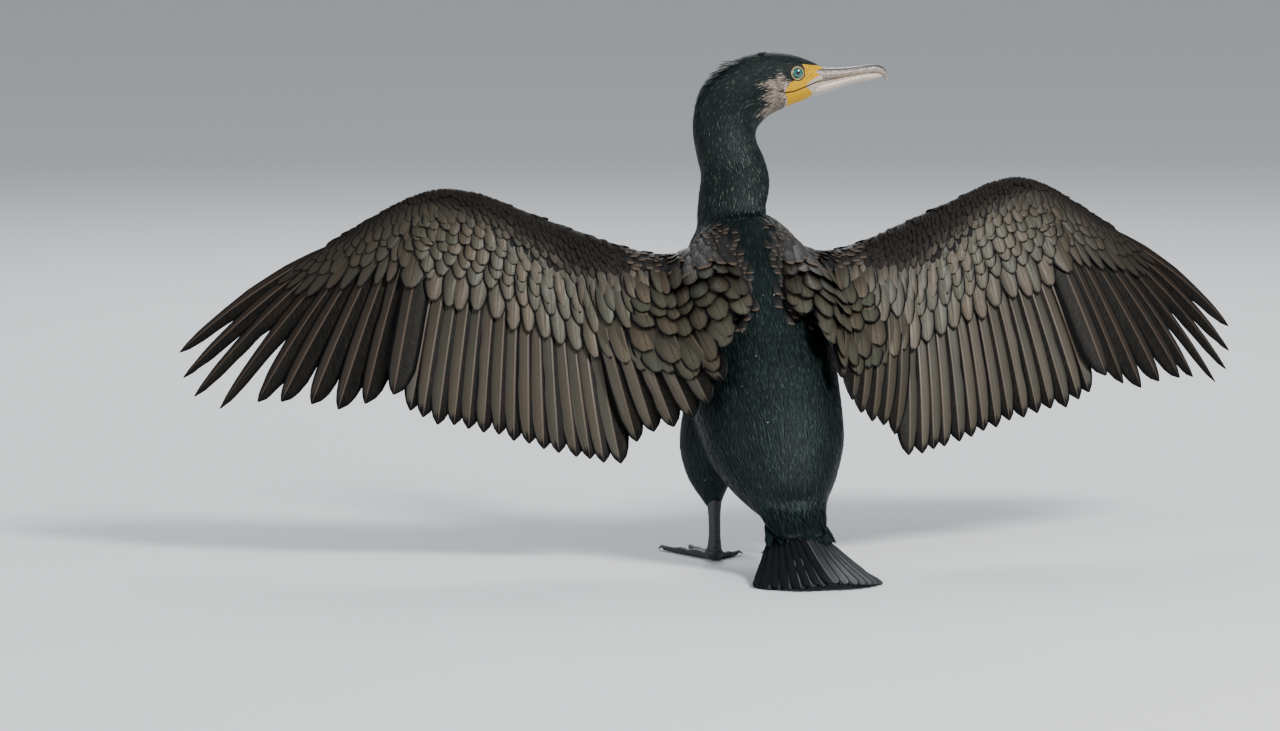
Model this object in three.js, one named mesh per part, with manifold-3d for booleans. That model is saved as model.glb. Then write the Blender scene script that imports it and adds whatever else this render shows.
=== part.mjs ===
// A great cormorant, life size, standing with its wings held open to dry.
//
// Millimetres, +Z up. The bird looks along +Y with its body and turns its head to +X, its right.
// Every bone-like or fleshy form is a loft: ellipses along a smooth curve. Every flight and tail
// feather is a thin closed vane, rooted in the loft that it grows from. The right wing is
// described once and mirrored for the left.

import * as THREE from 'three';
import { mergeVertices } from 'three/addons/utils/BufferGeometryUtils.js';
import Module from 'manifold-3d';

const wasm = await Module();
wasm.setup();

// Driving dimensions

const GAP = 0.3;                 // left between two nodes that meet
const BODY_DEPTH = 128;          // how far forward of the feet the head and upper neck stand
const STANCE = 53;               // half the distance between the two feet
const HEEL_HEIGHT = 62;          // the joint above the tarsus
const ANKLE_HEIGHT = 13;         // where the tarsus meets the foot
const WEB_THICKNESS = 2.4;
const EYE_RADIUS = 7;
const VANE_THICKNESS = 0.8;
const COVERT_SAG = 1.5;          // how far a covert bulges off the feather under it
const ROOT_LIFT = 1.3;           // a covert's root stands this many times its tip's lift above the flight feather
const FLOOR = 0;

// Trunk, from the tail root up to the base of the neck: place, half width, half depth
const TRUNK = [
  { at: [0, -140, 62], half: [22, 14] },
  { at: [0, -128, 72], half: [38, 28] },
  { at: [0, -102, 96], half: [58, 46] },
  { at: [0, -66, 130], half: [76, 63] },
  { at: [0, -24, 174], half: [82, 74] },
  { at: [0, 16, 224], half: [84, 76] },
  { at: [0, 50, 274], half: [80, 72] },
  { at: [0, 78, 318], half: [67, 60] },
  { at: [0, 95, 348], half: [48, 47] },
  { at: [0, 100, 364], half: [30, 32] },
];

// Neck and head in one run, from inside the chest to the root of the bill
const NECK_AND_HEAD = [
  { at: [0, 90, 332], half: [30, 32] },
  { at: [0, 101, 358], half: [42, 44] },
  { at: [1, 110, 382], half: [40, 41] },
  { at: [2, 120, 408], half: [36, 37] },
  { at: [-6, 126, 436], half: [32, 34] },
  { at: [-7, BODY_DEPTH, 460], half: [28, 36] },
  { at: [3, BODY_DEPTH, 484], half: [25, 39] },
  { at: [27, BODY_DEPTH, 501], half: [25, 37] },
  { at: [55, BODY_DEPTH, 507], half: [24, 32] },
  { at: [80, BODY_DEPTH, 508], half: [19, 25] },
  { at: [98, BODY_DEPTH, 508], half: [13, 17] },
  { at: [112, BODY_DEPTH, 508], half: [9, 11] },
];

const UPPER_BILL = [
  { at: [84, BODY_DEPTH, 514], half: [12.5, 9.5] },
  { at: [108, BODY_DEPTH, 514], half: [9.6, 6.2] },
  { at: [128, BODY_DEPTH, 514.6], half: [7.4, 5.2] },
  { at: [147, BODY_DEPTH, 517], half: [5.9, 4.4] },
  { at: [161, BODY_DEPTH, 518.4], half: [4.9, 4.5] },
  { at: [171, BODY_DEPTH, 516], half: [3.7, 4.2] },
  { at: [175.6, BODY_DEPTH, 509.5], half: [2.4, 2.5] },
  { at: [177, BODY_DEPTH, 502], half: [0.9, 0.8] },
];

const LOWER_BILL = [
  { at: [80, BODY_DEPTH, 492], half: [13, 10] },
  { at: [98, BODY_DEPTH, 497], half: [10.4, 8.6] },
  { at: [116, BODY_DEPTH, 502.4], half: [8, 6] },
  { at: [133, BODY_DEPTH, 506.6], half: [6.3, 4.9] },
  { at: [149, BODY_DEPTH, 509], half: [5.2, 4.5] },
  { at: [162, BODY_DEPTH, 510], half: [4.2, 4] },
  { at: [171, BODY_DEPTH, 510.6], half: [1.8, 1.6] },
];

// Leg, right side: the feathered thigh, then the bare tarsus
const THIGH = [
  { at: [44, 4, 178], half: [30, 34] },
  { at: [49, 4, 150], half: [37, 42] },
  { at: [53, 3, 118], half: [36, 38] },
  { at: [55, 0, 88], half: [25, 25] },
  { at: [STANCE + 1, -4, 68], half: [13, 14] },
  { at: [STANCE, -6, HEEL_HEIGHT - 5], half: [8.5, 9] },
];

const TARSUS = [
  { at: [STANCE, -7, HEEL_HEIGHT + 3], half: [8.4, 9.2] },
  { at: [STANCE, -8, 48], half: [6.6, 8.2] },
  { at: [STANCE, -9, 30], half: [6.4, 8] },
  { at: [STANCE, -8, 16], half: [7.6, 9] },
  { at: [STANCE, -5, 7], half: [8, 10] },
];

// Toes, right foot, from the joint under the tarsus: where the tip lies, and radii at root and tip
const TOE_ROOT = [STANCE, -4];
const TOES = [
  { name: 'hind', tip: [20, 26], radius: [4.6, 2.8] },
  { name: 'inner', tip: [31, 56], radius: [5, 3] },
  { name: 'middle', tip: [55, 82], radius: [5.4, 3.1] },
  { name: 'outer', tip: [84, 86], radius: [5.4, 3] },
];
const CLAW_LENGTH = 13;

// Right wing. The leading edge runs from inside the shoulder to the end of the finger, and the
// flesh hangs from it along the feathers' direction: its depth behind the edge and its thickness.
const WING_EDGE = [
  { at: [34, 56, 318], depth: 40, thick: 34 },
  { at: [70, 64, 326], depth: 56, thick: 36 },
  { at: [108, 72, 328], depth: 66, thick: 34 },
  { at: [158, 81, 341], depth: 76, thick: 30 },
  { at: [201, 92, 357], depth: 80, thick: 28 },
  { at: [243, 97, 374], depth: 70, thick: 24 },
  { at: [285, 108, 391], depth: 52, thick: 20 },
  { at: [326, 124, 396], depth: 36, thick: 17 },
  { at: [357, 131, 387], depth: 31, thick: 14 },
  { at: [388, 139, 369], depth: 27, thick: 11 },
  { at: [419, 150, 350], depth: 20, thick: 8 },
  { at: [440, 157, 337], depth: 9, thick: 5 },
];
const ARM_HANG = [0, -0.4, -0.92];       // the way that feathers hang from the arm
const HAND_HANG = [0.55, 0.05, -0.83];   // and from the end of the hand
const WRIST_X = 330;

// Where feather tips lie on the right wing, from the body outwards
const TERTIAL_TIPS = [[64, -92, 204], [80, -84, 176], [99, -66, 158], [120, -44, 146], [141, -28, 138]];
const SECONDARY_TIPS = [[160, -22, 110], [225, 0, 121], [272, 14, 135], [316, 20, 147], [362, 24, 157], [381, 29, 168]];
const PRIMARY_TIPS = [
  [399, 29, 184], [424, 50, 174], [451, 67, 168], [477, 83, 170], [504, 101, 172],
  [529, 121, 171], [564, 151, 162], [585, 180, 172], [595, 198, 190], [597, 207, 217],
];
const SECONDARY_COUNT = 11;
const TAIL_COUNT = 14;
const TAIL_LENGTH = 168;
const TAIL_ROOT = [0, -128, 68];
const TAIL_ROUNDING = 26;                // the outermost feathers are this much shorter
const TAIL_SPREAD = 0.4;                 // radians from the middle to the outermost
const TAIL_STACK = 6;                    // the middle pair lies this much above the outermost
const MIDDLE_OVERLAP = 2.4;              // and one of the middle pair over the other
const TAIL_ROOT_HALF = 15;
const TAIL_ROOT_DROP = 9;                // the outermost roots lie this much lower

// Finishes

const finish = (color, roughness, metalness = 0) =>
  new THREE.MeshStandardMaterial({ color, roughness, metalness });
const DARK_PLUMAGE = finish('#10201f', 0.5);
const BRONZE_PLUMAGE = finish('#3c362c', 0.55);
const BROWN_PLUMAGE = finish('#2c2420', 0.6);
const SLATE_PLUMAGE = finish('#26282b', 0.55);
const HORN = finish('#a79a89', 0.4);
const IRIS = finish('#1f8a74', 0.08);
const BLACK_SKIN = finish('#161617', 0.55);

// Solids

const vector = (p) => new THREE.Vector3(...p);

function solid(geometry) {
  const bare = geometry.clone();
  bare.deleteAttribute('normal');
  bare.deleteAttribute('uv');
  const merged = mergeVertices(bare, 1e-4);
  return new wasm.Manifold(new wasm.Mesh({
    numProp: 3,
    vertProperties: new Float32Array(merged.attributes.position.array),
    triVerts: new Uint32Array(merged.index.array),
  }));
}

function join(solids) {
  return solids.reduce((whole, next) => whole.add(next));
}

function largest(whole) {
  const bodies = whole.decompose();
  return bodies.reduce((best, next) => (next.volume() > best.volume() ? next : best));
}

function geometryOf(whole) {
  const mesh = whole.getMesh();
  const geometry = new THREE.BufferGeometry();
  geometry.setAttribute('position', new THREE.BufferAttribute(new Float32Array(mesh.vertProperties), 3));
  geometry.setIndex(new THREE.BufferAttribute(new Uint32Array(mesh.triVerts), 1));
  return geometry;
}

function mirrored(geometry) {
  const other = geometry.clone();
  other.scale(-1, 1, 1);
  const index = other.index.array;
  for (let i = 0; i < index.length; i += 3) {
    [index[i], index[i + 1]] = [index[i + 1], index[i]];
  }
  return other;
}

// A closed skin of rings, each ring a list of points in the same order, ended by flat fans
function skinOf(rings) {
  const around = rings[0].length;
  const points = rings.flat();
  const faces = [];
  for (let i = 0; i + 1 < rings.length; i++) {
    for (let j = 0; j < around; j++) {
      const a = i * around + j;
      const b = i * around + ((j + 1) % around);
      faces.push(a, b, b + around, a, b + around, a + around);
    }
  }
  const last = (rings.length - 1) * around;
  for (let j = 1; j + 1 < around; j++) {
    faces.push(0, j + 1, j);
    faces.push(last, last + j, last + j + 1);
  }
  const geometry = new THREE.BufferGeometry().setFromPoints(points);
  geometry.setIndex(faces);
  return geometry;
}

// An ellipse along a smooth curve through the stations. side is the way in which half[0] is laid
// off, and grow swells the whole form by that much for cutting a neighbour clear of it.
function loft(stations, side, { rings = 16, around = 16, grow = 0 } = {}) {
  const path = new THREE.CatmullRomCurve3(stations.map((s) => vector(s.at)));
  const halves = new THREE.CatmullRomCurve3(stations.map((s) => new THREE.Vector3(s.half[0], s.half[1], 0)));
  const laid = [];
  for (let i = 0; i <= rings; i++) {
    const t = i / rings;
    const along = path.getTangent(t);
    const across = vector(side).addScaledVector(along, -vector(side).dot(along)).normalize();
    const up = new THREE.Vector3().crossVectors(along, across);
    const half = halves.getPoint(t);
    const centre = path.getPoint(t);
    if (i === 0) centre.addScaledVector(along, -grow);
    if (i === rings) centre.addScaledVector(along, grow);
    const ring = [];
    for (let j = 0; j < around; j++) {
      const angle = (j / around) * Math.PI * 2;
      ring.push(centre.clone()
        .addScaledVector(across, Math.cos(angle) * (half.x + grow))
        .addScaledVector(up, Math.sin(angle) * (half.y + grow)));
    }
    laid.push(ring);
  }
  return solid(skinOf(laid));
}

// A feather as a closed vane. faces are the two ways that it looks, at its root and at its tip, so
// it twists with the wing. sag lifts its middle, bow curves it outwards, and tilt turns it about
// its shaft so that neighbours overlap like shingles. outer and inner are the two half widths at
// the widest, and shape gives the share of them at each share of the length.
const BROAD = [[0, 0.22], [0.25, 0.75], [0.65, 1], [0.93, 0.66]];
const POINTED = [[0, 0.22], [0.22, 0.75], [0.55, 0.9], [0.9, 0.42]];
const COVERT = [[0, 0.45], [0.5, 1], [0.88, 0.72]];
const TUFT = [[0, 1], [0.5, 0.7]];

function bearings({ root, tip, faces }, t) {
  const along = tip.clone().sub(root).normalize();
  const face = faces[0].clone().lerp(faces[1], t);
  face.addScaledVector(along, -face.dot(along)).normalize();
  return { face, outward: new THREE.Vector3().crossVectors(face, along) };
}

function vane(feather) {
  const { root, tip, outer, inner, tilt = 0, sag = 0, bow = 0, shape = BROAD } = feather;
  const middle = bearings(feather, 0.5);
  const place = (t) => root.clone().lerp(tip, t)
    .addScaledVector(middle.face, sag * 4 * t * (1 - t))
    .addScaledVector(middle.outward, bow * 4 * t * (1 - t));
  const rings = shape.map(([t, width]) => {
    const { face, outward } = bearings(feather, t);
    const edge = outward.clone().multiplyScalar(Math.cos(tilt)).addScaledVector(face, Math.sin(tilt));
    const normal = face.multiplyScalar(Math.cos(tilt)).addScaledVector(outward, -Math.sin(tilt));
    const at = (sideways, height) => place(t)
      .addScaledVector(edge, sideways * width).addScaledVector(normal, height * VANE_THICKNESS);
    return [at(outer, -0.5), at(outer, 0.5), at(-inner, 0.5), at(-inner, -0.5)];
  });
  const around = 4;
  const faces = [];
  for (let i = 0; i + 1 < rings.length; i++) {
    for (let j = 0; j < around; j++) {
      const a = i * around + j;
      const b = i * around + ((j + 1) % around);
      const c = b + around;
      const d = a + around;
      // the underside's diagonal lies under that of the top, so a bent vane keeps its thickness
      const underside = j === around - 1;
      if (underside) faces.push(a, b, d, b, c, d);
      else faces.push(a, b, c, a, c, d);
    }
  }
  const points = [...rings.flat(), place(1)];
  const last = (rings.length - 1) * around;
  for (let j = 0; j < around; j++) {
    faces.push(last + j, last + ((j + 1) % around), points.length - 1);
  }
  faces.push(0, 2, 1, 0, 3, 2);
  const geometry = new THREE.BufferGeometry().setFromPoints(points);
  geometry.setIndex(faces);
  return solid(geometry);
}

// A fan of feathers whose roots and tips follow two lines. Each looks square to its own length and
// to those lines. more gives each one's widths, bend and shape.
function fan(count, rootAt, tipAt, more) {
  return Array.from({ length: count }, (_, i) => {
    const t = i / (count - 1);
    const step = 0.5 / (count - 1);
    const [before, after] = [Math.max(t - step, 0), Math.min(t + step, 1)];
    const root = rootAt(t);
    const tip = tipAt(t);
    const along = tip.clone().sub(root);
    const faces = [rootAt, tipAt].map((lineAt) =>
      new THREE.Vector3().crossVectors(along, lineAt(after).sub(lineAt(before))).normalize());
    return { root, tip, faces, ...more(t, i) };
  });
}

// A shorter feather over a longer one, from one share of its length to another, lifted off its face
function over(feather, { from, to, lift, width }) {
  const { root, tip, sag, outer, inner } = feather;
  const rise = sag * 4 * to * (1 - to) + lift;
  const faces = [bearings(feather, from).face, bearings(feather, to).face];
  return vane({
    ...feather,
    faces,
    root: root.clone().lerp(tip, from).addScaledVector(faces[0], lift * ROOT_LIFT),
    tip: root.clone().lerp(tip, to).addScaledVector(faces[1], rise),
    outer: outer * width, inner: inner * width, sag: sag * (to - from) ** 2 + COVERT_SAG, bow: 0, shape: COVERT,
  });
}

// The half of a solid on one side of a plane through a point, set back by half the gap
function half(whole, normal, through, gap = GAP) {
  const n = vector(normal).normalize();
  return whole.trimByPlane(n.toArray(), n.dot(vector(through)) + gap / 2);
}

const opposite = (n) => n.map((c) => -c);

// Trunk

const ACROSS = [1, 0, 0];
const FORWARD = [0, 1, 0];
const trunk = loft(TRUNK, ACROSS, { rings: 18, around: 22 });
const trunkGrown = loft(TRUNK, ACROSS, { rings: 18, around: 22, grow: GAP });

// Neck, head and bill

const NECK_CUT = { normal: [0, 0.25, 1], through: [0, 118, 404] };
const HEAD_CUT = { normal: [0.25, 0, 0.97], through: [-6, BODY_DEPTH, 462] };
const BILL_CUT = { normal: [0.868, 0, -0.496], through: [105, BODY_DEPTH, 516] };

const neckAndHead = loft(NECK_AND_HEAD, FORWARD, { rings: 24, around: 16 });
const neckLower = largest(half(neckAndHead.subtract(trunkGrown), opposite(NECK_CUT.normal), NECK_CUT.through));
const neckUpper = largest(half(
  half(neckAndHead, NECK_CUT.normal, NECK_CUT.through),
  opposite(HEAD_CUT.normal), HEAD_CUT.through,
));

const EYE_AT = [70, 20, 516];
const NOSTRIL_AT = [121, 7.6, 516.4];
const NOSTRIL_LENGTH = 11;
const NAPE = { centre: [6, 487], radius: 42, first: -0.35, last: 1.0, count: 6, width: 4, length: 11, lift: 2.5 };
function eyeball(side, grow = 0) {
  const ball = new THREE.SphereGeometry(EYE_RADIUS + grow, 12, 7);
  ball.rotateX(Math.PI / 2);
  ball.translate(EYE_AT[0], BODY_DEPTH + side * (EYE_AT[1] - 3.2), EYE_AT[2]);
  return solid(ball);
}

function eyelid(side) {
  const ring = new THREE.TorusGeometry(EYE_RADIUS + 0.6, 1.5, 4, 12);
  ring.rotateX(Math.PI / 2);
  ring.translate(EYE_AT[0], BODY_DEPTH + side * (EYE_AT[1] - 0.2), EYE_AT[2]);
  return solid(ring);
}

// The line of the closed mouth runs on from the bill into the cheek, under the eye
function mouthLine(side) {
  const from = new THREE.Vector3(54, side * 25, 494.5);
  const to = new THREE.Vector3(97, side * 14, 505.5);
  const groove = new THREE.BoxGeometry(from.distanceTo(to), 5, 0.9);
  const way = to.clone().sub(from).normalize();
  groove.applyQuaternion(new THREE.Quaternion().setFromUnitVectors(new THREE.Vector3(1, 0, 0), way));
  const middle = from.lerp(to, 0.5);
  groove.translate(middle.x, BODY_DEPTH + middle.y, middle.z);
  return solid(groove);
}

function nostril(side) {
  const slit = new THREE.BoxGeometry(NOSTRIL_LENGTH, 2.4, 0.7);
  slit.rotateZ(-side * 0.13);
  slit.translate(NOSTRIL_AT[0], BODY_DEPTH + side * NOSTRIL_AT[1], NOSTRIL_AT[2]);
  return solid(slit);
}

// Loose feathers that stand out behind the crown and down the nape
function napeTuft(i) {
  const angle = NAPE.first + ((NAPE.last - NAPE.first) * i) / (NAPE.count - 1);
  const out = new THREE.Vector3(-Math.cos(angle), 0, Math.sin(angle));
  const sideways = ((i * 5) % 3 - 1) * 7;
  const surface = new THREE.Vector3(NAPE.centre[0], BODY_DEPTH + sideways, NAPE.centre[1])
    .addScaledVector(out, NAPE.radius - Math.abs(sideways) * 0.25);
  const down = new THREE.Vector3(-Math.sin(angle) * 0.9, 0, -Math.cos(angle) - 0.25).normalize();
  const root = surface.clone().addScaledVector(down, -4).addScaledVector(out, -5);
  const tip = surface.clone().addScaledVector(down, NAPE.length).addScaledVector(out, NAPE.lift);
  return vane({ root, tip, faces: [out, out], outer: NAPE.width, inner: NAPE.width, shape: TUFT });
}

const headWhole = half(
  half(neckAndHead, HEAD_CUT.normal, HEAD_CUT.through),
  opposite(BILL_CUT.normal), BILL_CUT.through,
);
const napeTufts = half(
  join(Array.from({ length: NAPE.count }, (_, i) => napeTuft(i))), HEAD_CUT.normal, HEAD_CUT.through,
);
const head = largest(
  headWhole.add(napeTufts).add(eyelid(1)).add(eyelid(-1))
    .subtract(eyeball(1, GAP)).subtract(eyeball(-1, GAP))
    .subtract(mouthLine(1)).subtract(mouthLine(-1)),
);
const lowerBillWhole = loft(LOWER_BILL, FORWARD, { rings: 10, around: 10 });
const lowerBillGrown = loft(LOWER_BILL, FORWARD, { rings: 10, around: 10, grow: GAP });
const upperBillWhole = loft(UPPER_BILL, FORWARD, { rings: 14, around: 10 });
const billUpper = largest(half(
  upperBillWhole.subtract(lowerBillGrown).subtract(nostril(1)).subtract(nostril(-1)),
  BILL_CUT.normal, BILL_CUT.through,
));
const billLower = largest(half(lowerBillWhole, BILL_CUT.normal, BILL_CUT.through));

// Legs, right side

const thighWhole = loft(THIGH, ACROSS, { rings: 8, around: 12 });
const tarsusGrown = loft(TARSUS, ACROSS, { rings: 7, around: 8, grow: GAP });
const thigh = largest(thighWhole.subtract(trunkGrown).subtract(tarsusGrown));
const ANKLE_CUT = { normal: [0, 0, 1], through: [0, 0, ANKLE_HEIGHT] };
const tarsusWhole = loft(TARSUS, ACROSS, { rings: 7, around: 8 });
const tarsus = largest(half(tarsusWhole, ANKLE_CUT.normal, ANKLE_CUT.through));

function webOutline() {
  const outline = new THREE.Shape();
  const [x, y] = TOE_ROOT;
  outline.moveTo(x - 8, y - 7);
  TOES.forEach((toe, i) => {
    const [tipX, tipY] = toe.tip;
    if (i === 0) {
      outline.lineTo(tipX, tipY);
      return;
    }
    const [lastX, lastY] = TOES[i - 1].tip;
    const pull = 0.16;
    const middleX = (lastX + tipX) / 2;
    const middleY = (lastY + tipY) / 2;
    outline.quadraticCurveTo(middleX + (x - middleX) * pull, middleY + (y - middleY) * pull, tipX, tipY);
  });
  outline.lineTo(x + 9, y - 6);
  outline.closePath();
  return outline;
}

function toe({ tip, radius }) {
  const [x, y] = TOE_ROOT;
  const at = (t) => [x + (tip[0] - x) * t, y + (tip[1] - y) * t];
  const stations = [0, 0.35, 0.62, 1].map((t, i) => {
    const knuckle = i % 2 === 0 ? 1.1 : 0.9;
    const r = (radius[0] + (radius[1] - radius[0]) * t) * knuckle;
    return { at: [...at(t), r * 0.92 + 0.2], half: [r, r * 0.9] };
  });
  return loft(stations, [tip[1] - y, x - tip[0], 0], { rings: 4, around: 6 });
}

function claw({ tip, radius }) {
  const [x, y] = TOE_ROOT;
  const way = new THREE.Vector2(tip[0] - x, tip[1] - y).normalize();
  const r = radius[1];
  const stations = [[-1, r * 1.1, 0.85], [0.25, r * 1.35, 0.8], [0.65, r * 1.05, 0.5], [1, 0.75, 0.14]];
  return loft(
    stations.map(([t, z, share]) => ({
      at: [tip[0] + way.x * CLAW_LENGTH * t * (t < 0 ? 0.3 : 1), tip[1] + way.y * CLAW_LENGTH * t * (t < 0 ? 0.3 : 1), z],
      half: [r * share, r * share * 0.8],
    })),
    [way.y, -way.x, 0], { rings: 4, around: 5 },
  );
}

const web = new THREE.ExtrudeGeometry(webOutline(), { depth: WEB_THICKNESS, bevelEnabled: false, curveSegments: 3 });
const anklePad = loft([
  { at: [STANCE, -6, 1], half: [9, 9] },
  { at: [STANCE, -6, 6], half: [9.5, 10.5] },
  { at: [STANCE, -6, ANKLE_HEIGHT + 3], half: [8, 9.5] },
], ACROSS, { rings: 3, around: 8 });
const toeSolids = TOES.map(toe);
const clawSolids = TOES.map(claw);
const footWhole = half(
  join([solid(web), anklePad, ...toeSolids]), opposite(ANKLE_CUT.normal), ANKLE_CUT.through,
);
const foot = largest(clawSolids.reduce(
  (rest, one, i) => rest.subtract(half(one, [TOES[i].tip[0] - TOE_ROOT[0], TOES[i].tip[1] - TOE_ROOT[1], 0],
    [...TOES[i].tip, 0], -GAP)),
  footWhole,
));
const claws = TOES.map((t, i) => largest(
  half(clawSolids[i], [t.tip[0] - TOE_ROOT[0], t.tip[1] - TOE_ROOT[1], 0], [...t.tip, 0], GAP).subtract(foot),
));

// Tail: paired stiff feathers fanned from the rump, the middle pair on top, laid on the floor

const tailSide = (t) => t * 2 - 1;

// One feather of the middle pair lies over the other, so the right side starts a little higher
const middleOverlap = (t) => (t > 0.5 ? MIDDLE_OVERLAP * (1 - tailSide(t)) : 0);

function tailRoot(t) {
  const u = tailSide(t);
  const height = TAIL_ROOT[2] - TAIL_ROOT_DROP * Math.abs(u) + middleOverlap(t);
  return new THREE.Vector3(TAIL_ROOT[0] + TAIL_ROOT_HALF * u, TAIL_ROOT[1], height);
}

// Each tip lies as low as the feathers under it let it, so the outermost ones rest on the floor
function tailTip(t) {
  const u = tailSide(t);
  const root = tailRoot(t);
  const level = FLOOR + 0.05 + (1 - Math.abs(u)) * TAIL_STACK + middleOverlap(t);
  const length = TAIL_LENGTH - TAIL_ROUNDING * u * u;
  const flat = Math.sqrt(length * length - (root.z - level) ** 2);
  return new THREE.Vector3(root.x + Math.sin(u * TAIL_SPREAD) * flat, root.y - Math.cos(u * TAIL_SPREAD) * flat, level);
}

const UPWARD = new THREE.Vector3(0, 0, 1);
const tailFeathers = fan(TAIL_COUNT, tailRoot, tailTip, (t) => ({
  outer: 10.5, inner: 10.5, faces: [UPWARD, UPWARD], tilt: 0.09 * Math.sign(tailSide(t)), sag: -6,
}));
const tailCore = loft([
  { at: [0, -116, 80], half: [26, 16] },
  { at: [0, -134, 66], half: [24, 12] },
  { at: [0, -156, 52], half: [22, 7] },
  { at: [0, -176, 42], half: [18, 3] },
], ACROSS, { rings: 6, around: 12 });
const tailCoverts = tailFeathers.filter((_, i) => i % 3 === 1);
const tail = largest(half(
  join([
    tailCore,
    ...tailFeathers.map(vane),
    ...tailCoverts.map((f) => over(f, { from: 0.04, to: 0.42, lift: 6, width: 1.3 })),
  ]).subtract(trunkGrown),
  [0, 0, 1], [0, 0, FLOOR], 0,
));

// Wing, right side

const edgeCurve = new THREE.CatmullRomCurve3(WING_EDGE.map((s) => vector(s.at)));
const fleshCurve = new THREE.CatmullRomCurve3(WING_EDGE.map((s) => new THREE.Vector3(s.depth, s.thick, 0)));

const DORSAL = new THREE.Vector3(0, -0.92, 0.4);

function hangAt(x) {
  const share = THREE.MathUtils.smoothstep(x, WRIST_X - 30, 440);
  return vector(ARM_HANG).lerp(vector(HAND_HANG), share).normalize();
}

// The place at a given distance out along X, a share of the flesh's depth behind the edge
function onWing(x, share) {
  let low = 0;
  let high = 1;
  for (let i = 0; i < 24; i++) {
    const middle = (low + high) / 2;
    if (edgeCurve.getPoint(middle).x < x) low = middle;
    else high = middle;
  }
  const depth = fleshCurve.getPoint(low).x;
  return edgeCurve.getPoint(low).addScaledVector(hangAt(x), depth * share);
}

function wingFlesh(grow = 0) {
  const rings = 20;
  const around = 10;
  const laid = [];
  for (let i = 0; i <= rings; i++) {
    const t = i / rings;
    const edge = edgeCurve.getPoint(t);
    const flesh = fleshCurve.getPoint(t);
    const hang = hangAt(edge.x);
    const along = edgeCurve.getTangent(t);
    const face = new THREE.Vector3().crossVectors(hang, along).normalize();
    const ring = [];
    for (let j = 0; j < around; j++) {
      const angle = (j / around) * Math.PI * 2;
      const back = (1 - Math.cos(angle)) / 2;
      const swell = Math.sin(angle) * (1 - 0.55 * back);
      ring.push(edge.clone()
        .addScaledVector(hang, back * flesh.x)
        .addScaledVector(face, swell * (flesh.y / 2 + grow)));
    }
    laid.push(ring);
  }
  return solid(skinOf(laid));
}

const curveThrough = (places) => new THREE.CatmullRomCurve3(places.map(vector));
const between = (from, to, t) => from + (to - from) * t;

const secondaryTips = curveThrough(SECONDARY_TIPS);
const secondaries = fan(
  SECONDARY_COUNT,
  (t) => onWing(between(176, 318, t), 0.62),
  (t) => secondaryTips.getPointAt(t),
  () => ({ outer: 14, inner: 20, tilt: 0.12, sag: 5, bow: 2 }),
);

const primaryTips = curveThrough(PRIMARY_TIPS);
const primaries = fan(
  PRIMARY_TIPS.length,
  (t) => onWing(between(337, 424, t), 0.55),
  (t) => primaryTips.getPoint(t),
  (t, i) => ({
    outer: 12 - 5 * t, inner: 21 - 6 * t, tilt: 0.12, sag: 5 + 3 * t, bow: 6 * t, shape: i > 5 ? POINTED : BROAD,
  }),
);

const tertialTips = curveThrough(TERTIAL_TIPS);
const tertials = fan(
  TERTIAL_TIPS.length,
  (t) => onWing(between(92, 164, t), 0.6),
  (t) => tertialTips.getPoint(t),
  () => ({ outer: 15, inner: 19, tilt: 0.12, sag: 12 }),
);

// The thumb's short feathers lie along the edge of the hand
const alula = fan(
  2,
  (t) => onWing(between(338, 350, t), 0.25),
  (t) => onWing(between(392, 410, t), 0.55 - 0.2 * t).addScaledVector(DORSAL, 6),
  () => ({ outer: 5, inner: 8, faces: [DORSAL, DORSAL], tilt: 0.1, sag: 2, shape: COVERT }),
);

const wingWhole = join([
  wingFlesh(),
  ...[...tertials, ...secondaries, ...primaries, ...alula].map(vane),
  ...tertials.map((f) => over(f, { from: 0, to: 0.66, lift: 4.5, width: 0.9 })),
  ...tertials.map((f) => over(f, { from: -0.12, to: 0.36, lift: 9, width: 0.8 })),
  ...secondaries.map((f) => over(f, { from: -0.02, to: 0.45, lift: 4.2, width: 0.86 })),
  ...secondaries.map((f) => over(f, { from: -0.12, to: 0.22, lift: 8, width: 0.74 })),
  ...primaries.map((f) => over(f, { from: -0.01, to: 0.38, lift: 3, width: 0.8 })),
]).subtract(trunkGrown);

const WRIST_CUT = { normal: [0.93, 0.1, 0.36], through: [330, 100, 365] };
const ELBOW_CUT = { normal: [0.99, 0, -0.1], through: [168, 60, 280] };
const wingHand = largest(half(wingWhole, WRIST_CUT.normal, WRIST_CUT.through));
const wingArm = largest(half(
  half(wingWhole, opposite(WRIST_CUT.normal), WRIST_CUT.through),
  ELBOW_CUT.normal, ELBOW_CUT.through,
));
const wingInner = largest(half(wingWhole, opposite(ELBOW_CUT.normal), ELBOW_CUT.through));

// Assembly

const cormorant = new THREE.Group();

function place(name, whole, material) {
  const mesh = new THREE.Mesh(geometryOf(whole), material);
  mesh.name = name;
  cormorant.add(mesh);
}

function placePair(name, whole, material) {
  place(`${name}_right`, whole, material);
  const other = new THREE.Mesh(mirrored(geometryOf(whole)), material);
  other.name = `${name}_left`;
  cormorant.add(other);
}

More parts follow.
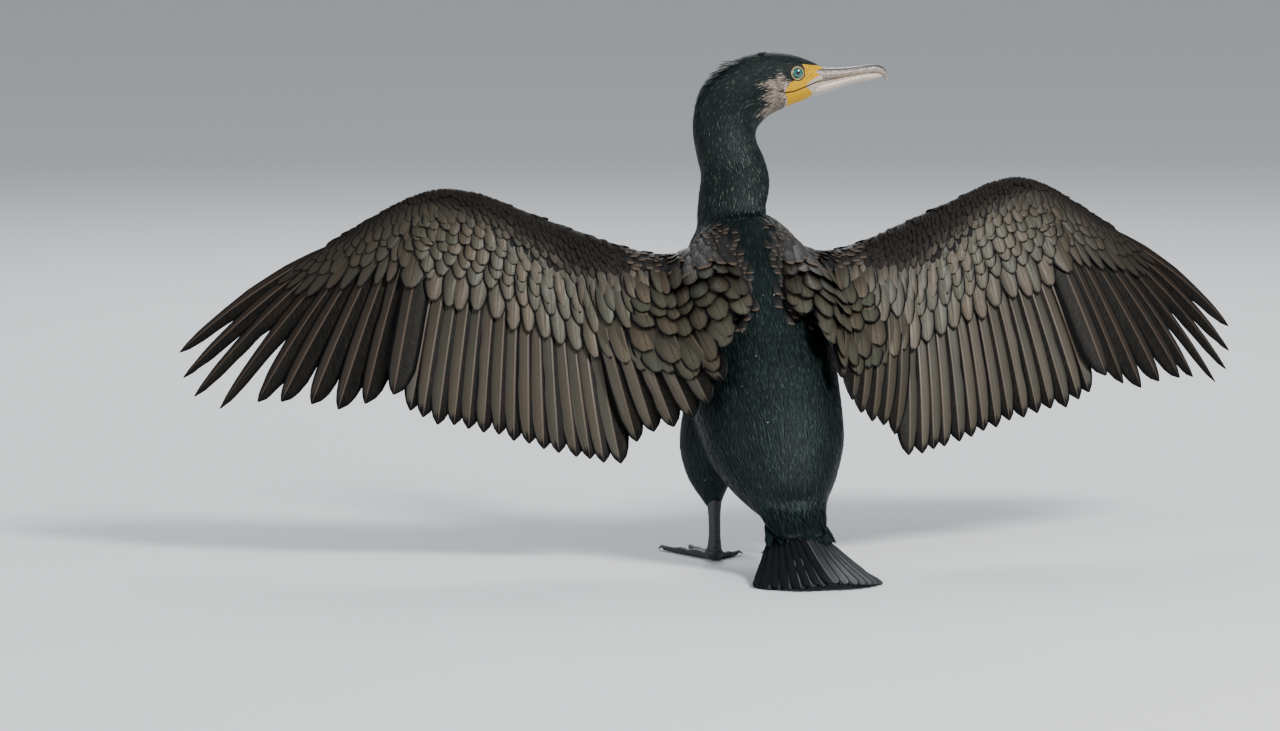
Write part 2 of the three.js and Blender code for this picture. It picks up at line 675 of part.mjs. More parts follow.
place('torso', trunk, DARK_PLUMAGE);
place('neck_lower', neckLower, DARK_PLUMAGE);
place('neck_upper', neckUpper, DARK_PLUMAGE);
place('head', head, DARK_PLUMAGE);
place('bill_upper', billUpper, HORN);
place('bill_lower', billLower, HORN);
place('eye_right', eyeball(-1), IRIS);
place('eye_left', eyeball(1), IRIS);
place('tail', tail, SLATE_PLUMAGE);
placePair('wing_inner', wingInner, BRONZE_PLUMAGE);
placePair('wing_arm', wingArm, BRONZE_PLUMAGE);
placePair('wing_hand', wingHand, BROWN_PLUMAGE);
placePair('thigh', thigh, DARK_PLUMAGE);
placePair('tarsus', tarsus, BLACK_SKIN);
placePair('foot', foot, BLACK_SKIN);
TOES.forEach((t, i) => placePair(`claw_${t.name}`, claws[i], BLACK_SKIN));

// The origin lies on the floor, at the middle of the outline seen from above
const outline = new THREE.Box3().setFromObject(cormorant);
const middle = outline.getCenter(new THREE.Vector3());
cormorant.position.set(-middle.x, -middle.y, -outline.min.z);

export default cormorant;
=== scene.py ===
# %% [markdown]
# # A great cormorant with its wings held open to dry
# The solids of the CAD part say how big everything is and where it lies. This script builds the
# looks on top of them: one skin, thousands of feathers, and a head, bill and feet with detail.
# All shapes are worked out in millimetres in the CAD's own directions and turned into metres at
# the moment that a mesh is made, so that numbers here can be compared with the CAD's.

import math

import bmesh
import bpy
import numpy as np
from mathutils import Matrix, Vector
from mathutils.bvhtree import BVHTree


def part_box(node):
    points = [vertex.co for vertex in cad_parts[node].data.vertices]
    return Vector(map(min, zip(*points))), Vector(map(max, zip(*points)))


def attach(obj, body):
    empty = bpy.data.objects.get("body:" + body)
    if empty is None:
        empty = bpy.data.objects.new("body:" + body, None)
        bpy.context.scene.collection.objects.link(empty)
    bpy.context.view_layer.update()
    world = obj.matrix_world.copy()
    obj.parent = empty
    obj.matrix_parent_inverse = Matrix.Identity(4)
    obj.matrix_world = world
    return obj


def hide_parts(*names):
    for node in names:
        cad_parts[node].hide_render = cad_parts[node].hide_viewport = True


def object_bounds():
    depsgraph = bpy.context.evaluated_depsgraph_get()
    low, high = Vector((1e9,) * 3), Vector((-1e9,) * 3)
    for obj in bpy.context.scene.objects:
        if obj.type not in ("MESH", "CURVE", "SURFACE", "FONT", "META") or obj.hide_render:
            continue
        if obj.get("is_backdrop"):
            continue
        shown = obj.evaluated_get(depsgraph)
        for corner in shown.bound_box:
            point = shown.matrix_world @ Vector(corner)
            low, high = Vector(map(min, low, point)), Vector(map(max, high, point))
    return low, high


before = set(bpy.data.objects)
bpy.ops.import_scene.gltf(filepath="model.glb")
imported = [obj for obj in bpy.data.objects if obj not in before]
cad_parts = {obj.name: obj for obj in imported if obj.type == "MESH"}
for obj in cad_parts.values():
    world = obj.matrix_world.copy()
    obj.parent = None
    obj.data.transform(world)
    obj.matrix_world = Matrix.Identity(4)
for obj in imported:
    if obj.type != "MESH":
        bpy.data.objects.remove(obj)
cad_low, cad_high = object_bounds()
eye_low, eye_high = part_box("eye_right")
RIGHT_EYE_Y = 111.2
SHIFT = np.array([0.0, (eye_low.y + eye_high.y) * 500 - RIGHT_EYE_Y, 0.0])
rng = np.random.default_rng(11)
print("CAD box", [round(c, 4) for c in (*cad_low, *cad_high)], "shift", SHIFT.round(3))

# %% [markdown]
# ## The numbers that drive the bird
# Stations along the trunk, neck, thigh and bill are a place and two half widths. The wing has a
# leading edge, and two lines of points where feathers end. They are the CAD's own, because a visual
# piece has to lie where the solid under it lies. Only the tail's root is broader here than in the
# solids, so that the skin meets the short feathers at its sides.

# %% Driving dimensions
HEAD_Y = 128.0
STANCE = 53.0
TRUNK = [((0, -140, 62), (22, 14)), ((0, -128, 72), (38, 28)), ((0, -102, 96), (58, 46)),
         ((0, -66, 130), (76, 63)), ((0, -24, 174), (82, 74)), ((0, 16, 224), (84, 76)),
         ((0, 50, 274), (80, 72)), ((0, 78, 318), (67, 60)), ((0, 95, 348), (48, 47)),
         ((0, 100, 364), (30, 32))]
NECK_AND_HEAD = [((0, 90, 332), (30, 32)), ((0, 101, 358), (42, 44)), ((1, 110, 382), (40, 41)),
                 ((2, 120, 408), (36, 37)), ((-6, 126, 436), (32, 34)), ((-7, 128, 460), (28, 36)),
                 ((3, 128, 484), (25, 39)), ((27, 128, 501), (25, 37)), ((55, 128, 507), (24, 32)),
                 ((80, 128, 508), (19, 25)), ((98, 128, 508), (13, 17)), ((112, 128, 508), (9, 11))]
UPPER_BILL = [((84, 128, 514), (12.5, 9.5)), ((108, 128, 514), (9.6, 6.4)), ((128, 128, 514.8), (7.2, 5.4)),
              ((147, 128, 517), (5.7, 4.7)), ((161, 128, 518.2), (4.8, 4.7)), ((170, 128, 516.2), (3.9, 4.4)),
              ((175, 128, 510.5), (2.5, 2.8)), ((177, 128, 502.6), (0.9, 0.9))]
LOWER_BILL = [((86, 128, 495.5), (10.5, 6.5)), ((99, 128, 498), (9.9, 7.4)), ((116, 128, 502), (8, 6)),
              ((133, 128, 506.2), (6.3, 4.9)), ((149, 128, 508.8), (5.1, 4.3)), ((162, 128, 510.2), (4, 3.6)),
              ((170.5, 128, 511), (1.8, 1.6))]
THIGH = [((44, 4, 178), (30, 34)), ((49, 4, 150), (37, 42)), ((53, 3, 118), (36, 38)),
         ((55, 0, 88), (25, 25)), ((54, -4, 68), (13, 14)), ((53, -6, 57), (8.5, 9))]
TARSUS = [((53, -7, 66), (8.2, 9)), ((53, -8, 48), (6.4, 8)), ((53, -9, 30), (6.2, 7.8)),
          ((53, -8, 16), (7.4, 9)), ((53, -6, 5), (8.6, 10.4))]
TAIL_CORE = [((0, -112, 84), (44, 20)), ((0, -134, 67), (38, 14)), ((0, -156, 53), (33, 8)),
             ((0, -178, 42), (27, 3))]
TOES = [((20, 26), (4.6, 2.8)), ((31, 56), (5, 3)), ((55, 82), (5.4, 3.1)), ((84, 86), (5.4, 3))]
TOE_ROOT = (STANCE, -4.0)
CLAW_LENGTH = 13.0
WING_EDGE = np.array([
    (34, 56, 318, 40, 34), (70, 64, 326, 56, 36), (108, 72, 328, 66, 34), (158, 81, 341, 76, 30),
    (201, 92, 357, 80, 28), (243, 97, 374, 70, 24), (285, 108, 391, 52, 20), (326, 124, 396, 36, 17),
    (357, 131, 387, 31, 14), (388, 139, 369, 27, 11), (419, 150, 350, 20, 8), (440, 157, 337, 9, 5)], float)
TERTIAL_TIPS = [(64, -92, 204), (80, -84, 176), (99, -66, 158), (120, -44, 146), (141, -28, 138)]
SECONDARY_TIPS = [(160, -22, 110), (225, 0, 121), (272, 14, 135), (316, 20, 147), (362, 24, 157),
                  (381, 29, 168)]
PRIMARY_TIPS = [(399, 29, 184), (424, 50, 174), (451, 67, 168), (477, 83, 170), (504, 101, 172),
                (529, 121, 171), (564, 151, 162), (585, 180, 172), (595, 198, 190), (597, 207, 217)]
SCAPULAR = [((30, 66, 350), (32, 22, 322), (25, -46, 272)), ((48, 66, 344), (54, 20, 316), (44, -66, 256)),
            ((66, 66, 337), (74, 30, 304), (56, -82, 232))]
TAIL_ROOT, TAIL_LENGTH, TAIL_COUNT = (0, -128, 68), 168.0, 14
EYE_AT = (70.0, 15.2, 516.0)
EYE_RADIUS = 8.0
COAT = 1.5
print(len(WING_EDGE), "wing edge stations,", len(PRIMARY_TIPS), "primaries")

# %% [markdown]
# ## Curves and lofts
# A smooth curve runs through each list of stations. A loft is a circle set at many places along
# it, each squashed to the half widths there, and bridged to the next. It is how a body, a neck or
# a toe gets a rounded form from only a few numbers.


# %% Curve and loft helpers
def unit(a):
    return a / np.maximum(np.linalg.norm(a, axis=-1, keepdims=True), 1e-9)


def spline(places, t):
    """Points on the smooth curve through places, t from 0 to 1."""
    places = np.asarray(places, float)
    t = np.atleast_1d(np.asarray(t, float))
    ends = np.vstack([2 * places[0] - places[1], places, 2 * places[-1] - places[-2]])
    p = np.clip(t, 0, 1) * (len(places) - 1)
    i = np.minimum(p.astype(int), len(places) - 2)
    w = (p - i)[:, None]
    x0, x1, x2, x3 = (ends[i + k] for k in range(4))

    def gap(a, b):
        return np.maximum(np.sum((a - b) ** 2, 1, keepdims=True) ** 0.25, 1e-4)

    d0, d1, d2 = gap(x0, x1), gap(x1, x2), gap(x2, x3)
    m1 = ((x1 - x0) / d0 - (x2 - x0) / (d0 + d1) + (x2 - x1) / d1) * d1
    m2 = ((x2 - x1) / d1 - (x3 - x1) / (d1 + d2) + (x3 - x2) / d2) * d1
    return x1 + m1 * w + (-3 * x1 + 3 * x2 - 2 * m1 - m2) * w**2 + (2 * x1 - 2 * x2 + m1 + m2) * w**3


def even(places, t):
    """The same, with t as a share of the curve's length."""
    fine = spline(places, np.linspace(0, 1, 300))
    run = np.r_[0, np.cumsum(np.linalg.norm(np.diff(fine, axis=0), axis=1))]
    return np.stack([np.interp(np.atleast_1d(t) * run[-1], run, fine[:, k]) for k in range(3)], 1)


neck_line = even([s[0] for s in NECK_AND_HEAD], np.linspace(0, 1, 50))
neck_length = np.linalg.norm(np.diff(neck_line, axis=0), axis=1).sum()
print("neck and head are", round(neck_length), "mm along their curve")

# %% [markdown]
# A body is round across but changes its size all the way along. Each ring of a loft is therefore
# set square to the curve, and turned so that its width stays level.


# %% Sections, and lofts through them
def sections(stations, side, rings, shrink=0.0):
    """Centre, way along, way across, way up and half widths at each ring of a loft."""
    t = np.linspace(0, 1, rings + 1)
    centre = spline([s[0] for s in stations], t)
    half = np.maximum(spline([s[1] for s in stations], t) - shrink, 0.4)
    way = unit(np.gradient(centre, axis=0))
    sides = np.asarray(side, float)
    sides = spline(sides, t) if sides.ndim == 2 else np.broadcast_to(sides, way.shape)
    across = unit(sides - (sides * way).sum(-1, keepdims=True) * way)
    return centre, way, across, np.cross(way, across), half


def loft(stations, side, rings=40, around=32, shrink=0.0):
    """Circles along a curve, bridged and closed, in millimetres."""
    bm = bmesh.new()
    loops = []
    for centre, way, across, up, half in zip(*sections(stations, side, rings, shrink)):
        turn = Matrix((across * half[0], up * half[1], way)).transposed().to_4x4()
        turn.translation = centre
        ring = bmesh.ops.create_circle(bm, segments=around, radius=1, matrix=turn)["verts"]
        loops.append(list({e for v in ring for e in v.link_edges}))
    for one, other in zip(loops, loops[1:]):
        bmesh.ops.bridge_loops(bm, edges=one + other)
    bmesh.ops.holes_fill(bm, edges=[e for e in bm.edges if e.is_boundary], sides=0)
    bmesh.ops.recalc_face_normals(bm, faces=bm.faces[:])
    return bm


def together(parts, mirror=False):
    """Several forms in one bmesh, with their mirror images if asked."""
    whole = bmesh.new()
    for part in parts:
        for flip in (1, -1) if mirror else (1,):
            mesh = bpy.data.meshes.new("part")
            part.to_mesh(mesh)
            mesh.transform(Matrix.Diagonal((flip, 1, 1, 1)))
            whole.from_mesh(mesh)
            bpy.data.meshes.remove(mesh)
        part.free()
    bmesh.ops.recalc_face_normals(whole, faces=whole.faces[:])
    return whole


ACROSS, FORWARD = (1, 0, 0), (0, 1, 0)
trunk_width, trunk_depth = 2 * sections(TRUNK, ACROSS, 20)[4].max(0)
print("trunk is", round(trunk_width), "mm wide and", round(trunk_depth), "mm deep")

# %% [markdown]
# A finished form is turned into metres, gets its material, and is told which body it rides on and which
# solids it stands for.


# %% From a form to a piece
def coordinates(bm):
    return np.array([v.co for v in bm.verts], float)


def move(bm, places):
    for vertex, place in zip(bm.verts, places):
        vertex.co = place


def piece(bm, name, material, nodes=()):
    """A finished piece in metres, riding on the bird, standing for CAD nodes."""
    bmesh.ops.recalc_face_normals(bm, faces=bm.faces[:])
    bm.transform(Matrix.Translation(SHIFT / 1000) @ Matrix.Scale(0.001, 4))
    mesh = bpy.data.meshes.new(name)
    bm.to_mesh(mesh)
    bm.free()
    return show(mesh, name, material, nodes)


def show(mesh, name, material, nodes=()):
    mesh.materials.append(material)
    mesh.polygons.foreach_set("use_smooth", np.ones(len(mesh.polygons), bool))
    obj = bpy.data.objects.new(name, mesh)
    bpy.context.scene.collection.objects.link(obj)
    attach(obj, "root")
    if nodes:
        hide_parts(*nodes)
    print(name, len(mesh.polygons), "faces")
    return obj


# %% [markdown]
# ## The materials
# Every finish is drawn by nodes from the object's own coordinates or from the feather's own map:
# U runs across a vane and V along it. So each feather has a shaft, a border and fine barbs, and
# two numbers stored on it, tone and zone, keep any two from being the same.


# %% Material helpers
class Shade:
    def __init__(self, name, **values):
        self.material = bpy.data.materials.new(name)
        self.material.use_nodes = True
        self.tree = self.material.node_tree
        self.surface = self.tree.nodes["Principled BSDF"]
        self.place = self.node("TexCoord", out=3)
        for key, value in values.items():
            self.surface.inputs[key.replace("_", " ")].default_value = value

    def node(self, kind, inputs=None, out=0, **settings):
        made = self.tree.nodes.new("ShaderNode" + kind)
        for key, value in settings.items():
            setattr(made, key, value)
        for key, value in (inputs or {}).items():
            if isinstance(value, bpy.types.NodeSocket):
                self.tree.links.new(value, made.inputs[key])
            else:
                made.inputs[key].default_value = value
        return made.outputs[out]

    def math(self, what, a, b=0.0):
        return self.node("Math", {0: a, 1: b}, operation=what)

    def step(self, value, low, high):
        return self.node("MapRange", {0: value, 1: low, 2: high}, interpolation_type="SMOOTHSTEP")

    def mix(self, share, a, b):
        first, second = ((*c, 1) if isinstance(c, tuple) else c for c in (a, b))
        return self.node("Mix", {0: share, 6: first, 7: second}, out=2, data_type="RGBA")

    def noise(self, scale, detail=3.0, vector=None):
        return self.node("TexNoise", {"Vector": vector or self.place, "Scale": scale, "Detail": detail})

    def cells(self, scale, out=0):
        return self.node("TexVoronoi", {"Vector": self.place, "Scale": scale}, out=out)

    def value(self, name):
        return self.node("Attribute", out=2, attribute_name=name)

    def done(self, colour, bump=None, depth=0.0005, roughness=None, strength=0.6):
        self.tree.links.new(colour, self.surface.inputs["Base Color"])
        if roughness is not None:
            self.tree.links.new(roughness, self.surface.inputs["Roughness"])
        if bump is not None:
            normal = self.node("Bump", {"Height": bump, "Distance": depth, "Strength": strength})
            self.tree.links.new(normal, self.surface.inputs["Normal"])
        return self.material


# %% [markdown]
# Every feather has the same build: a shaft, a vane of fine barbs that lean to the tip, and a
# border. One function draws that build, and each kind of feather gives its own colours to it. The
# gloss is held back on borders and dark parts, which are loose and dull on a real feather.


# %% The finish of a feather
def feather_finish(name, centre, other, far, border, shaft, inner=None, rim=0.8, quill=0.6,
                   barbs=(3.0, 70.0, 0.22), flecks_and_sheen=None, rough=(0.38, 0.60), shine=0.5, around=1.0,
                   swell=(0.55, 1.4), specks=False, **values):
    """centre and other: by tone. far: by zone. border: the outline. inner: the covered side.
    barbs: how fine the streaks are across and along a vane, and how far they lean to its tip.
    rim and around: where the border starts, and how much of it runs along the sides.
    swell: how dark the painted shade on the edges and root of a vane is, and how bright the painted highlight
    on its middle is."""
    s = Shade(name, **values)
    split = s.tree.nodes.new("ShaderNodeSeparateXYZ")
    s.tree.links.new(s.node("UVMap", uv_map="Vane"), split.inputs[0])
    u, v = split.outputs[0], split.outputs[1]
    across = s.math("ABSOLUTE", s.math("MULTIPLY_ADD", u, 2.0))
    across.node.inputs[0].links[0].from_node.inputs[2].default_value = -1.0
    tone, zone = s.value("tone"), s.value("zone")
    own = s.node("CombineXYZ", {0: s.math("MULTIPLY", u, 5.0), 1: s.math("MULTIPLY", v, 2.2),
                                2: s.math("MULTIPLY", tone, 60.0)})
    patches = s.noise(1.4, 5.0, own)
    leaning = s.math("SUBTRACT", v, s.math("MULTIPLY", across, barbs[2]))
    streak_place = s.node("CombineXYZ", {0: s.math("MULTIPLY", u, barbs[0] * 2),
                                         1: s.math("MULTIPLY", leaning, barbs[1]),
                                         2: s.math("MULTIPLY", tone, 31.0)})
    streaks = s.noise(1.0, 2.0, streak_place)
    outline = s.math("MAXIMUM", s.math("MULTIPLY", across, around), s.step(v, rim - 0.02, 1.06))
    outline = s.math("ADD", outline, s.math("MULTIPLY", s.math("SUBTRACT", patches, 0.5), 0.35))
    colour = s.mix(tone, centre, other)
    colour = s.mix(zone, colour, far)
    edge = s.step(outline, rim, rim + 0.14)
    dull = edge
    if inner:
        covered = s.step(u, 0.52, 0.44)
        dull = s.math("MAXIMUM", edge, covered)
        colour = s.mix(covered, colour, inner)
    # Painted light: each vane is darkened at its edges and root as painted shade, and brightened in its
    # middle as a painted highlight.
    full = s.math("MULTIPLY", s.step(across, 0.95, 0.1), s.step(v, 0.25, 0.85))
    painted_shade_and_highlight = s.node("MapRange", {0: full, 3: swell[0], 4: swell[1]})
    colour = s.node("VectorMath", {0: colour, 3: painted_shade_and_highlight}, operation="SCALE")
    dim = tuple(c * 0.45 for c in centre)
    colour = s.mix(s.math("MULTIPLY", s.step(streaks, 0.42, 0.75), 0.55), colour, dim)
    colour = s.mix(s.math("MULTIPLY", s.step(patches, 0.45, 0.8), 0.5), colour, dim)
    colour = s.mix(edge, colour, border)
    # A lighter colour on the tips of a few feathers: partly pale streaks of the plumage, partly a painted
    # green-silver sheen.
    if flecks_and_sheen:
        on_tip = s.math("MULTIPLY", s.step(v, 0.45, 0.8), s.step(across, 0.7, 0.2))
        chosen = s.math("MULTIPLY", s.step(tone, 0.80, 0.90), on_tip)
        colour = s.mix(s.math("MULTIPLY", chosen, s.step(patches, 0.35, 0.6)), colour, flecks_and_sheen)
    if specks:
        few = s.step(s.cells(95.0, out=1), 0.78, 0.80)
        chosen = s.math("MULTIPLY", s.step(s.cells(95.0), 0.085, 0.055), few)
        colour = s.mix(chosen, colour, (0.42, 0.44, 0.44))
    rachis = s.step(across, 0.085, 0.035)
    colour = s.mix(s.math("MULTIPLY", rachis, quill), colour, shaft)
    gleam = s.node("MapRange", {0: s.math("MAXIMUM", dull, zone), 3: shine, 4: 0.1})
    s.tree.links.new(gleam, s.surface.inputs["Specular IOR Level"])
    height = s.math("ADD", s.math("MULTIPLY", streaks, 0.8), rachis)
    roughness = s.node("MapRange", {0: patches, 1: 0.2, 2: 0.8, 3: rough[0], 4: rough[1]})
    return s.done(colour, height, 0.0004, roughness)


# %% [markdown]
# Seven finishes cover all the plumage. Bronze and flight feathers are warm with black outlines, the
# mantle is dark with pale tips, and body and head are black-green with a little metal in them, so
# that their gloss takes on colour.

# %% Materials of the plumage
BLACK = (0.0035, 0.0035, 0.004)
TUFT_BARBS = (9.0, 3.0, 0.0)
bronze = feather_finish("Bronze_vanes", (0.074, 0.054, 0.032), (0.041, 0.044, 0.028), (0.009, 0.0075, 0.007),
                        BLACK, (0.008, 0.007, 0.006), rim=0.74, quill=0.5, Metallic=0.25)
mantle_edge = feather_finish("Mantle_vanes", (0.009, 0.008, 0.007), (0.018, 0.014, 0.012),
                             (0.006, 0.007, 0.007), (0.082, 0.060, 0.044), (0.006, 0.006, 0.006),
                             rim=0.60, quill=0.4, shine=0.3, around=0.6)
flight = feather_finish("Flight_vanes", (0.062, 0.047, 0.027), (0.037, 0.036, 0.023), (0.020, 0.014, 0.012),
                        BLACK, (0.095, 0.068, 0.050), inner=(0.004, 0.0038, 0.0038), rim=0.72, quill=0.75,
                        barbs=(3.0, 150.0, 0.09), swell=(0.7, 1.25), Metallic=0.2)
gloss = feather_finish("Gloss_vanes", (0.004, 0.0095, 0.0098), (0.008, 0.020, 0.0185), (0.02, 0.016, 0.014),
                       BLACK, (0.005, 0.008, 0.008), rim=0.88, quill=0.15, barbs=TUFT_BARBS,
                       flecks_and_sheen=(0.040, 0.064, 0.057), rough=(0.30, 0.48), shine=0.28, swell=(0.6, 1.3),
                       specks=True, Metallic=0.5)
head_vanes = feather_finish("Head_vanes", (0.0035, 0.0085, 0.009), (0.008, 0.018, 0.016), (0.50, 0.40, 0.33),
                            BLACK, (0.005, 0.008, 0.008), rim=0.90, quill=0.15, barbs=TUFT_BARBS,
                            flecks_and_sheen=(0.16, 0.20, 0.165), rough=(0.32, 0.50), shine=0.28, swell=(0.7, 1.2),
                            Metallic=0.3)
slate = feather_finish("Slate_vanes", (0.020, 0.022, 0.025), (0.012, 0.013, 0.016), (0.01, 0.01, 0.01), BLACK,
                       (0.085, 0.085, 0.085), inner=(0.007, 0.008, 0.009), rim=0.80, quill=0.9,
                       barbs=(3.0, 150.0, 0.07), shine=0.35, swell=(0.8, 1.2))
under = feather_finish("Under_vanes", (0.016, 0.014, 0.013), (0.010, 0.009, 0.009), (0.008, 0.008, 0.008),
                       BLACK, (0.022, 0.020, 0.018), rim=0.78, quill=0.4, shine=0.12, rough=(0.6, 0.8))
print(len(bpy.data.materials), "materials for feathers")


# %% [markdown]
# Bare parts are mottled with noise at two sizes. The face reads numbers that are stored on the skin
# later: how far inside the yellow, the cheek or the mouth's line each of its points is.

# %% Materials of skin, horn, eye and feet
def skin_finish():
    """Black-green under the feathers, with the yellow, white and horn-coloured face."""
    s = Shade("Skin_and_face", Specular_IOR_Level=0.18)
    fine, broad = s.noise(900.0, 4.0), s.noise(260.0, 3.0)
    jitter = s.math("MULTIPLY", s.math("SUBTRACT", broad, 0.5), 3.2)
    colour = s.mix(fine, (0.002, 0.004, 0.004), (0.004, 0.008, 0.008))
    pale = s.step(s.math("ADD", s.value("cheek"), s.math("MULTIPLY", jitter, 2.6)), -3.0, 3.0)
    cream = s.mix(s.noise(420.0, 4.0), (0.30, 0.20, 0.15), (0.62, 0.52, 0.44))
    colour = s.mix(pale, colour, cream)
    speckles = s.step(s.cells(800.0), 0.46, 0.22)
    lores = s.step(s.value("lores"), -1.5, 1.0)
    yellow = s.mix(broad, (0.56, 0.28, 0.0), (0.66, 0.38, 0.0))
    yellow = s.mix(s.math("MULTIPLY", s.math("MULTIPLY", speckles, lores), 0.85), yellow, (0.06, 0.04, 0.01))
    yellow = s.mix(s.math("MULTIPLY", s.step(fine, 0.55, 0.8), 0.35), yellow, (0.30, 0.15, 0.0))
    bare = s.math("ADD", s.value("yellow"), s.math("MULTIPLY", jitter, 0.4))
    colour = s.mix(s.step(bare, -0.4, 0.4), colour, yellow)
    ivory = s.mix(s.noise(300.0, 4.0), (0.34, 0.26, 0.20), (0.62, 0.54, 0.46))
    colour = s.mix(s.step(s.value("horn"), -0.5, 0.5), colour, ivory)
    colour = s.mix(s.step(s.value("groove"), 0.1, 0.8), colour, (0.05, 0.028, 0.012))
    ring = s.step(s.value("socket"), 0.0, 0.6)
    colour = s.mix(ring, colour, (0.010, 0.010, 0.010))
    bump = s.math("ADD", s.math("MULTIPLY", speckles, 0.7), fine)
    return s.done(colour, bump, 0.0004, s.node("MapRange", {0: broad, 1: 0.2, 2: 0.8, 3: 0.4, 4: 0.62}))


# %% [markdown]
# Horn is streaked along its length, so its noise is stretched. The eye is only rings of colour by
# the angle from its middle. Legs and webs are scaly, and cells of a Voronoi texture are the scales.


# %% Horn, eye and scaly skin
def horn_finish(name, dark, light, deep, top):
    """Horn with a darker ridge on top, mottled and finely streaked along its length."""
    s = Shade(name, Coat_Weight=0.2)
    stretched = s.node("Mapping", {0: s.place, 3: (160.0, 900.0, 900.0)})
    grain = s.noise(1.0, 4.0, stretched)
    mottle = s.noise(430.0, 4.0)
    colour = s.mix(s.step(mottle, 0.35, 0.7), light, dark)
    colour = s.mix(s.math("MULTIPLY", s.step(grain, 0.5, 0.75), 0.6), colour, deep)
    uneven = s.math("MULTIPLY", s.math("SUBTRACT", mottle, 0.5), 0.9)
    ridge = s.step(s.math("ADD", s.value("ridge"), uneven), 0.3, 0.8)
    colour = s.mix(ridge, colour, top)
    roughness = s.node("MapRange", {0: mottle, 3: 0.28, 4: 0.5})
    return s.done(colour, s.math("ADD", grain, mottle), 0.00035, roughness)


def eye_finish():
    """Rings by the angle from the middle of the eye: pupil, iris with rays, dark rim."""
    s = Shade("Eye_teal", Roughness=0.06, Coat_Weight=1.0, Coat_Roughness=0.03)
    angle = s.value("angle")
    rays = s.noise(1500.0, 3.0)
    iris = s.mix(rays, (0.001, 0.045, 0.042), (0.005, 0.19, 0.155))
    iris = s.mix(s.step(angle, 0.40, 0.66), iris, (0.003, 0.10, 0.088))
    colour = s.mix(s.step(angle, 0.27, 0.31), (0.002, 0.002, 0.003), iris)
    colour = s.mix(s.step(angle, 0.68, 0.73), colour, (0.004, 0.005, 0.005))
    return s.done(colour)


def black_skin(name, dark, light, scale):
    """Scaly black skin: cells for the scutes, noise for dust and wear."""
    s = Shade(name)
    scutes = s.cells(scale)
    wear = s.noise(340.0, 4.0)
    colour = s.mix(s.step(scutes, 0.2, 0.75), light, dark)
    colour = s.mix(s.math("MULTIPLY", s.step(wear, 0.5, 0.75), 0.5), colour, tuple(c * 2.2 for c in light))
    return s.done(colour, s.math("SUBTRACT", wear, s.math("MULTIPLY", scutes, 1.6)), 0.0006,
                  s.node("MapRange", {0: wear, 3: 0.4, 4: 0.62}))


skin_material = skin_finish()
upper_horn = horn_finish("Horn_upper", (0.20, 0.15, 0.12), (0.42, 0.34, 0.28), (0.07, 0.055, 0.05),
                         (0.045, 0.04, 0.04))
lower_horn = horn_finish("Horn_lower", (0.44, 0.35, 0.27), (0.60, 0.52, 0.43), (0.22, 0.17, 0.13),
                         (0.40, 0.33, 0.27))
eye_material = eye_finish()
lid_material = black_skin("Lid_beads", (0.34, 0.24, 0.06), (0.62, 0.50, 0.22), 1500.0)
foot_material = black_skin("Foot_skin", (0.008, 0.008, 0.009), (0.022, 0.022, 0.024), 420.0)
web_material = black_skin("Web_skin", (0.010, 0.010, 0.011), (0.020, 0.020, 0.021), 800.0)
claw_material = horn_finish("Claw_horn", (0.016, 0.015, 0.015), (0.03, 0.028, 0.026), (0.006, 0.006, 0.006),
                            (0.02, 0.018, 0.016))
print(len(bpy.data.materials), "materials in all")

# %% [markdown]
# ## One skin
# Trunk, neck, head, thighs, tail root and the flesh of the wings are lofted apart, laid into one
# another and turned into a single closed surface by a voxel remesh, as clay is pressed together.
# It is smoothed so that no join shows. The face is then cut finer, and its grooves are pressed in.


# %% The wing's own lines
def edge_at(x):
    fine = spline(WING_EDGE, np.linspace(0, 1, 400))
    return np.stack([np.interp(x, fine[:, 0], fine[:, k]) for k in range(5)], -1)


def hang_at(x):
    share = np.clip((np.asarray(x, float) - 300) / 140, 0, 1)
    share = (share * share * (3 - 2 * share))[..., None]
    return unit(np.array((0, -0.4, -0.92)) * (1 - share) + np.array((0.55, 0.05, -0.83)) * share)


def on_wing(x, share):
    at = edge_at(x)
    return at[..., :3] + hang_at(x) * at[..., 3:4] * share


def wing_flesh():
    x = WING_EDGE[:, 0]
    centres = WING_EDGE[:, :3] + hang_at(x) * WING_EDGE[:, 3:4] * 0.47
    stations = [(c, (row[3] * 0.47, row[4] * 0.37)) for c, row in zip(centres, WING_EDGE)]
    return loft(stations, hang_at(x), rings=70, around=28, shrink=0.6), stations, hang_at(x)


flesh_bm, FLESH, FLESH_SIDES = wing_flesh()
print("wing flesh", len(flesh_bm.verts), "vertices")

# %% [markdown]
# The coloured parts of the face are plain outlines seen from the side. For any point, `inside` says
# how many millimetres it is from the outline, so that borders can be soft or ragged later.

# %% The face's outlines, in X and Z
YELLOW = [(55.6, 495), (60.8, 505.6), (66, 508), (74, 508), (79, 512), (80, 520), (77, 525.6), (90, 524),
          (104, 521.5), (97, 512.7), (88, 508.5), (83, 505), (79.5, 500.9), (83.2, 499.2), (87.6, 495.5),
          (91, 490.5), (80, 484), (71.2, 480), (60.5, 478), (60.1, 487.4)]
LORES = [(78, 527), (106, 523), (97, 511), (86, 509), (79, 509)]
HORN = [(79.5, 500.9), (83, 505), (88, 508.5), (97, 512.7), (104, 521.5), (125, 522), (125, 480), (84, 484),
        (91, 490.5), (87.6, 495.5), (83.2, 499.2)]
CHEEK = [(61, 506), (52, 514), (38, 508), (30, 505), (42, 499), (32, 491), (42, 486), (32, 475), (41, 467),
         (55, 471), (63, 477), (60.5, 487), (55.6, 495)]
MOUTH = [(54.5, 494.5), (66.8, 496.0), (80, 500.6), (92, 505), (106, 508)]
BROW_LINE = [(60, 527), (72, 527.5), (86, 524.5)]
LORE_LINE = [(79, 517), (98, 517.5)]


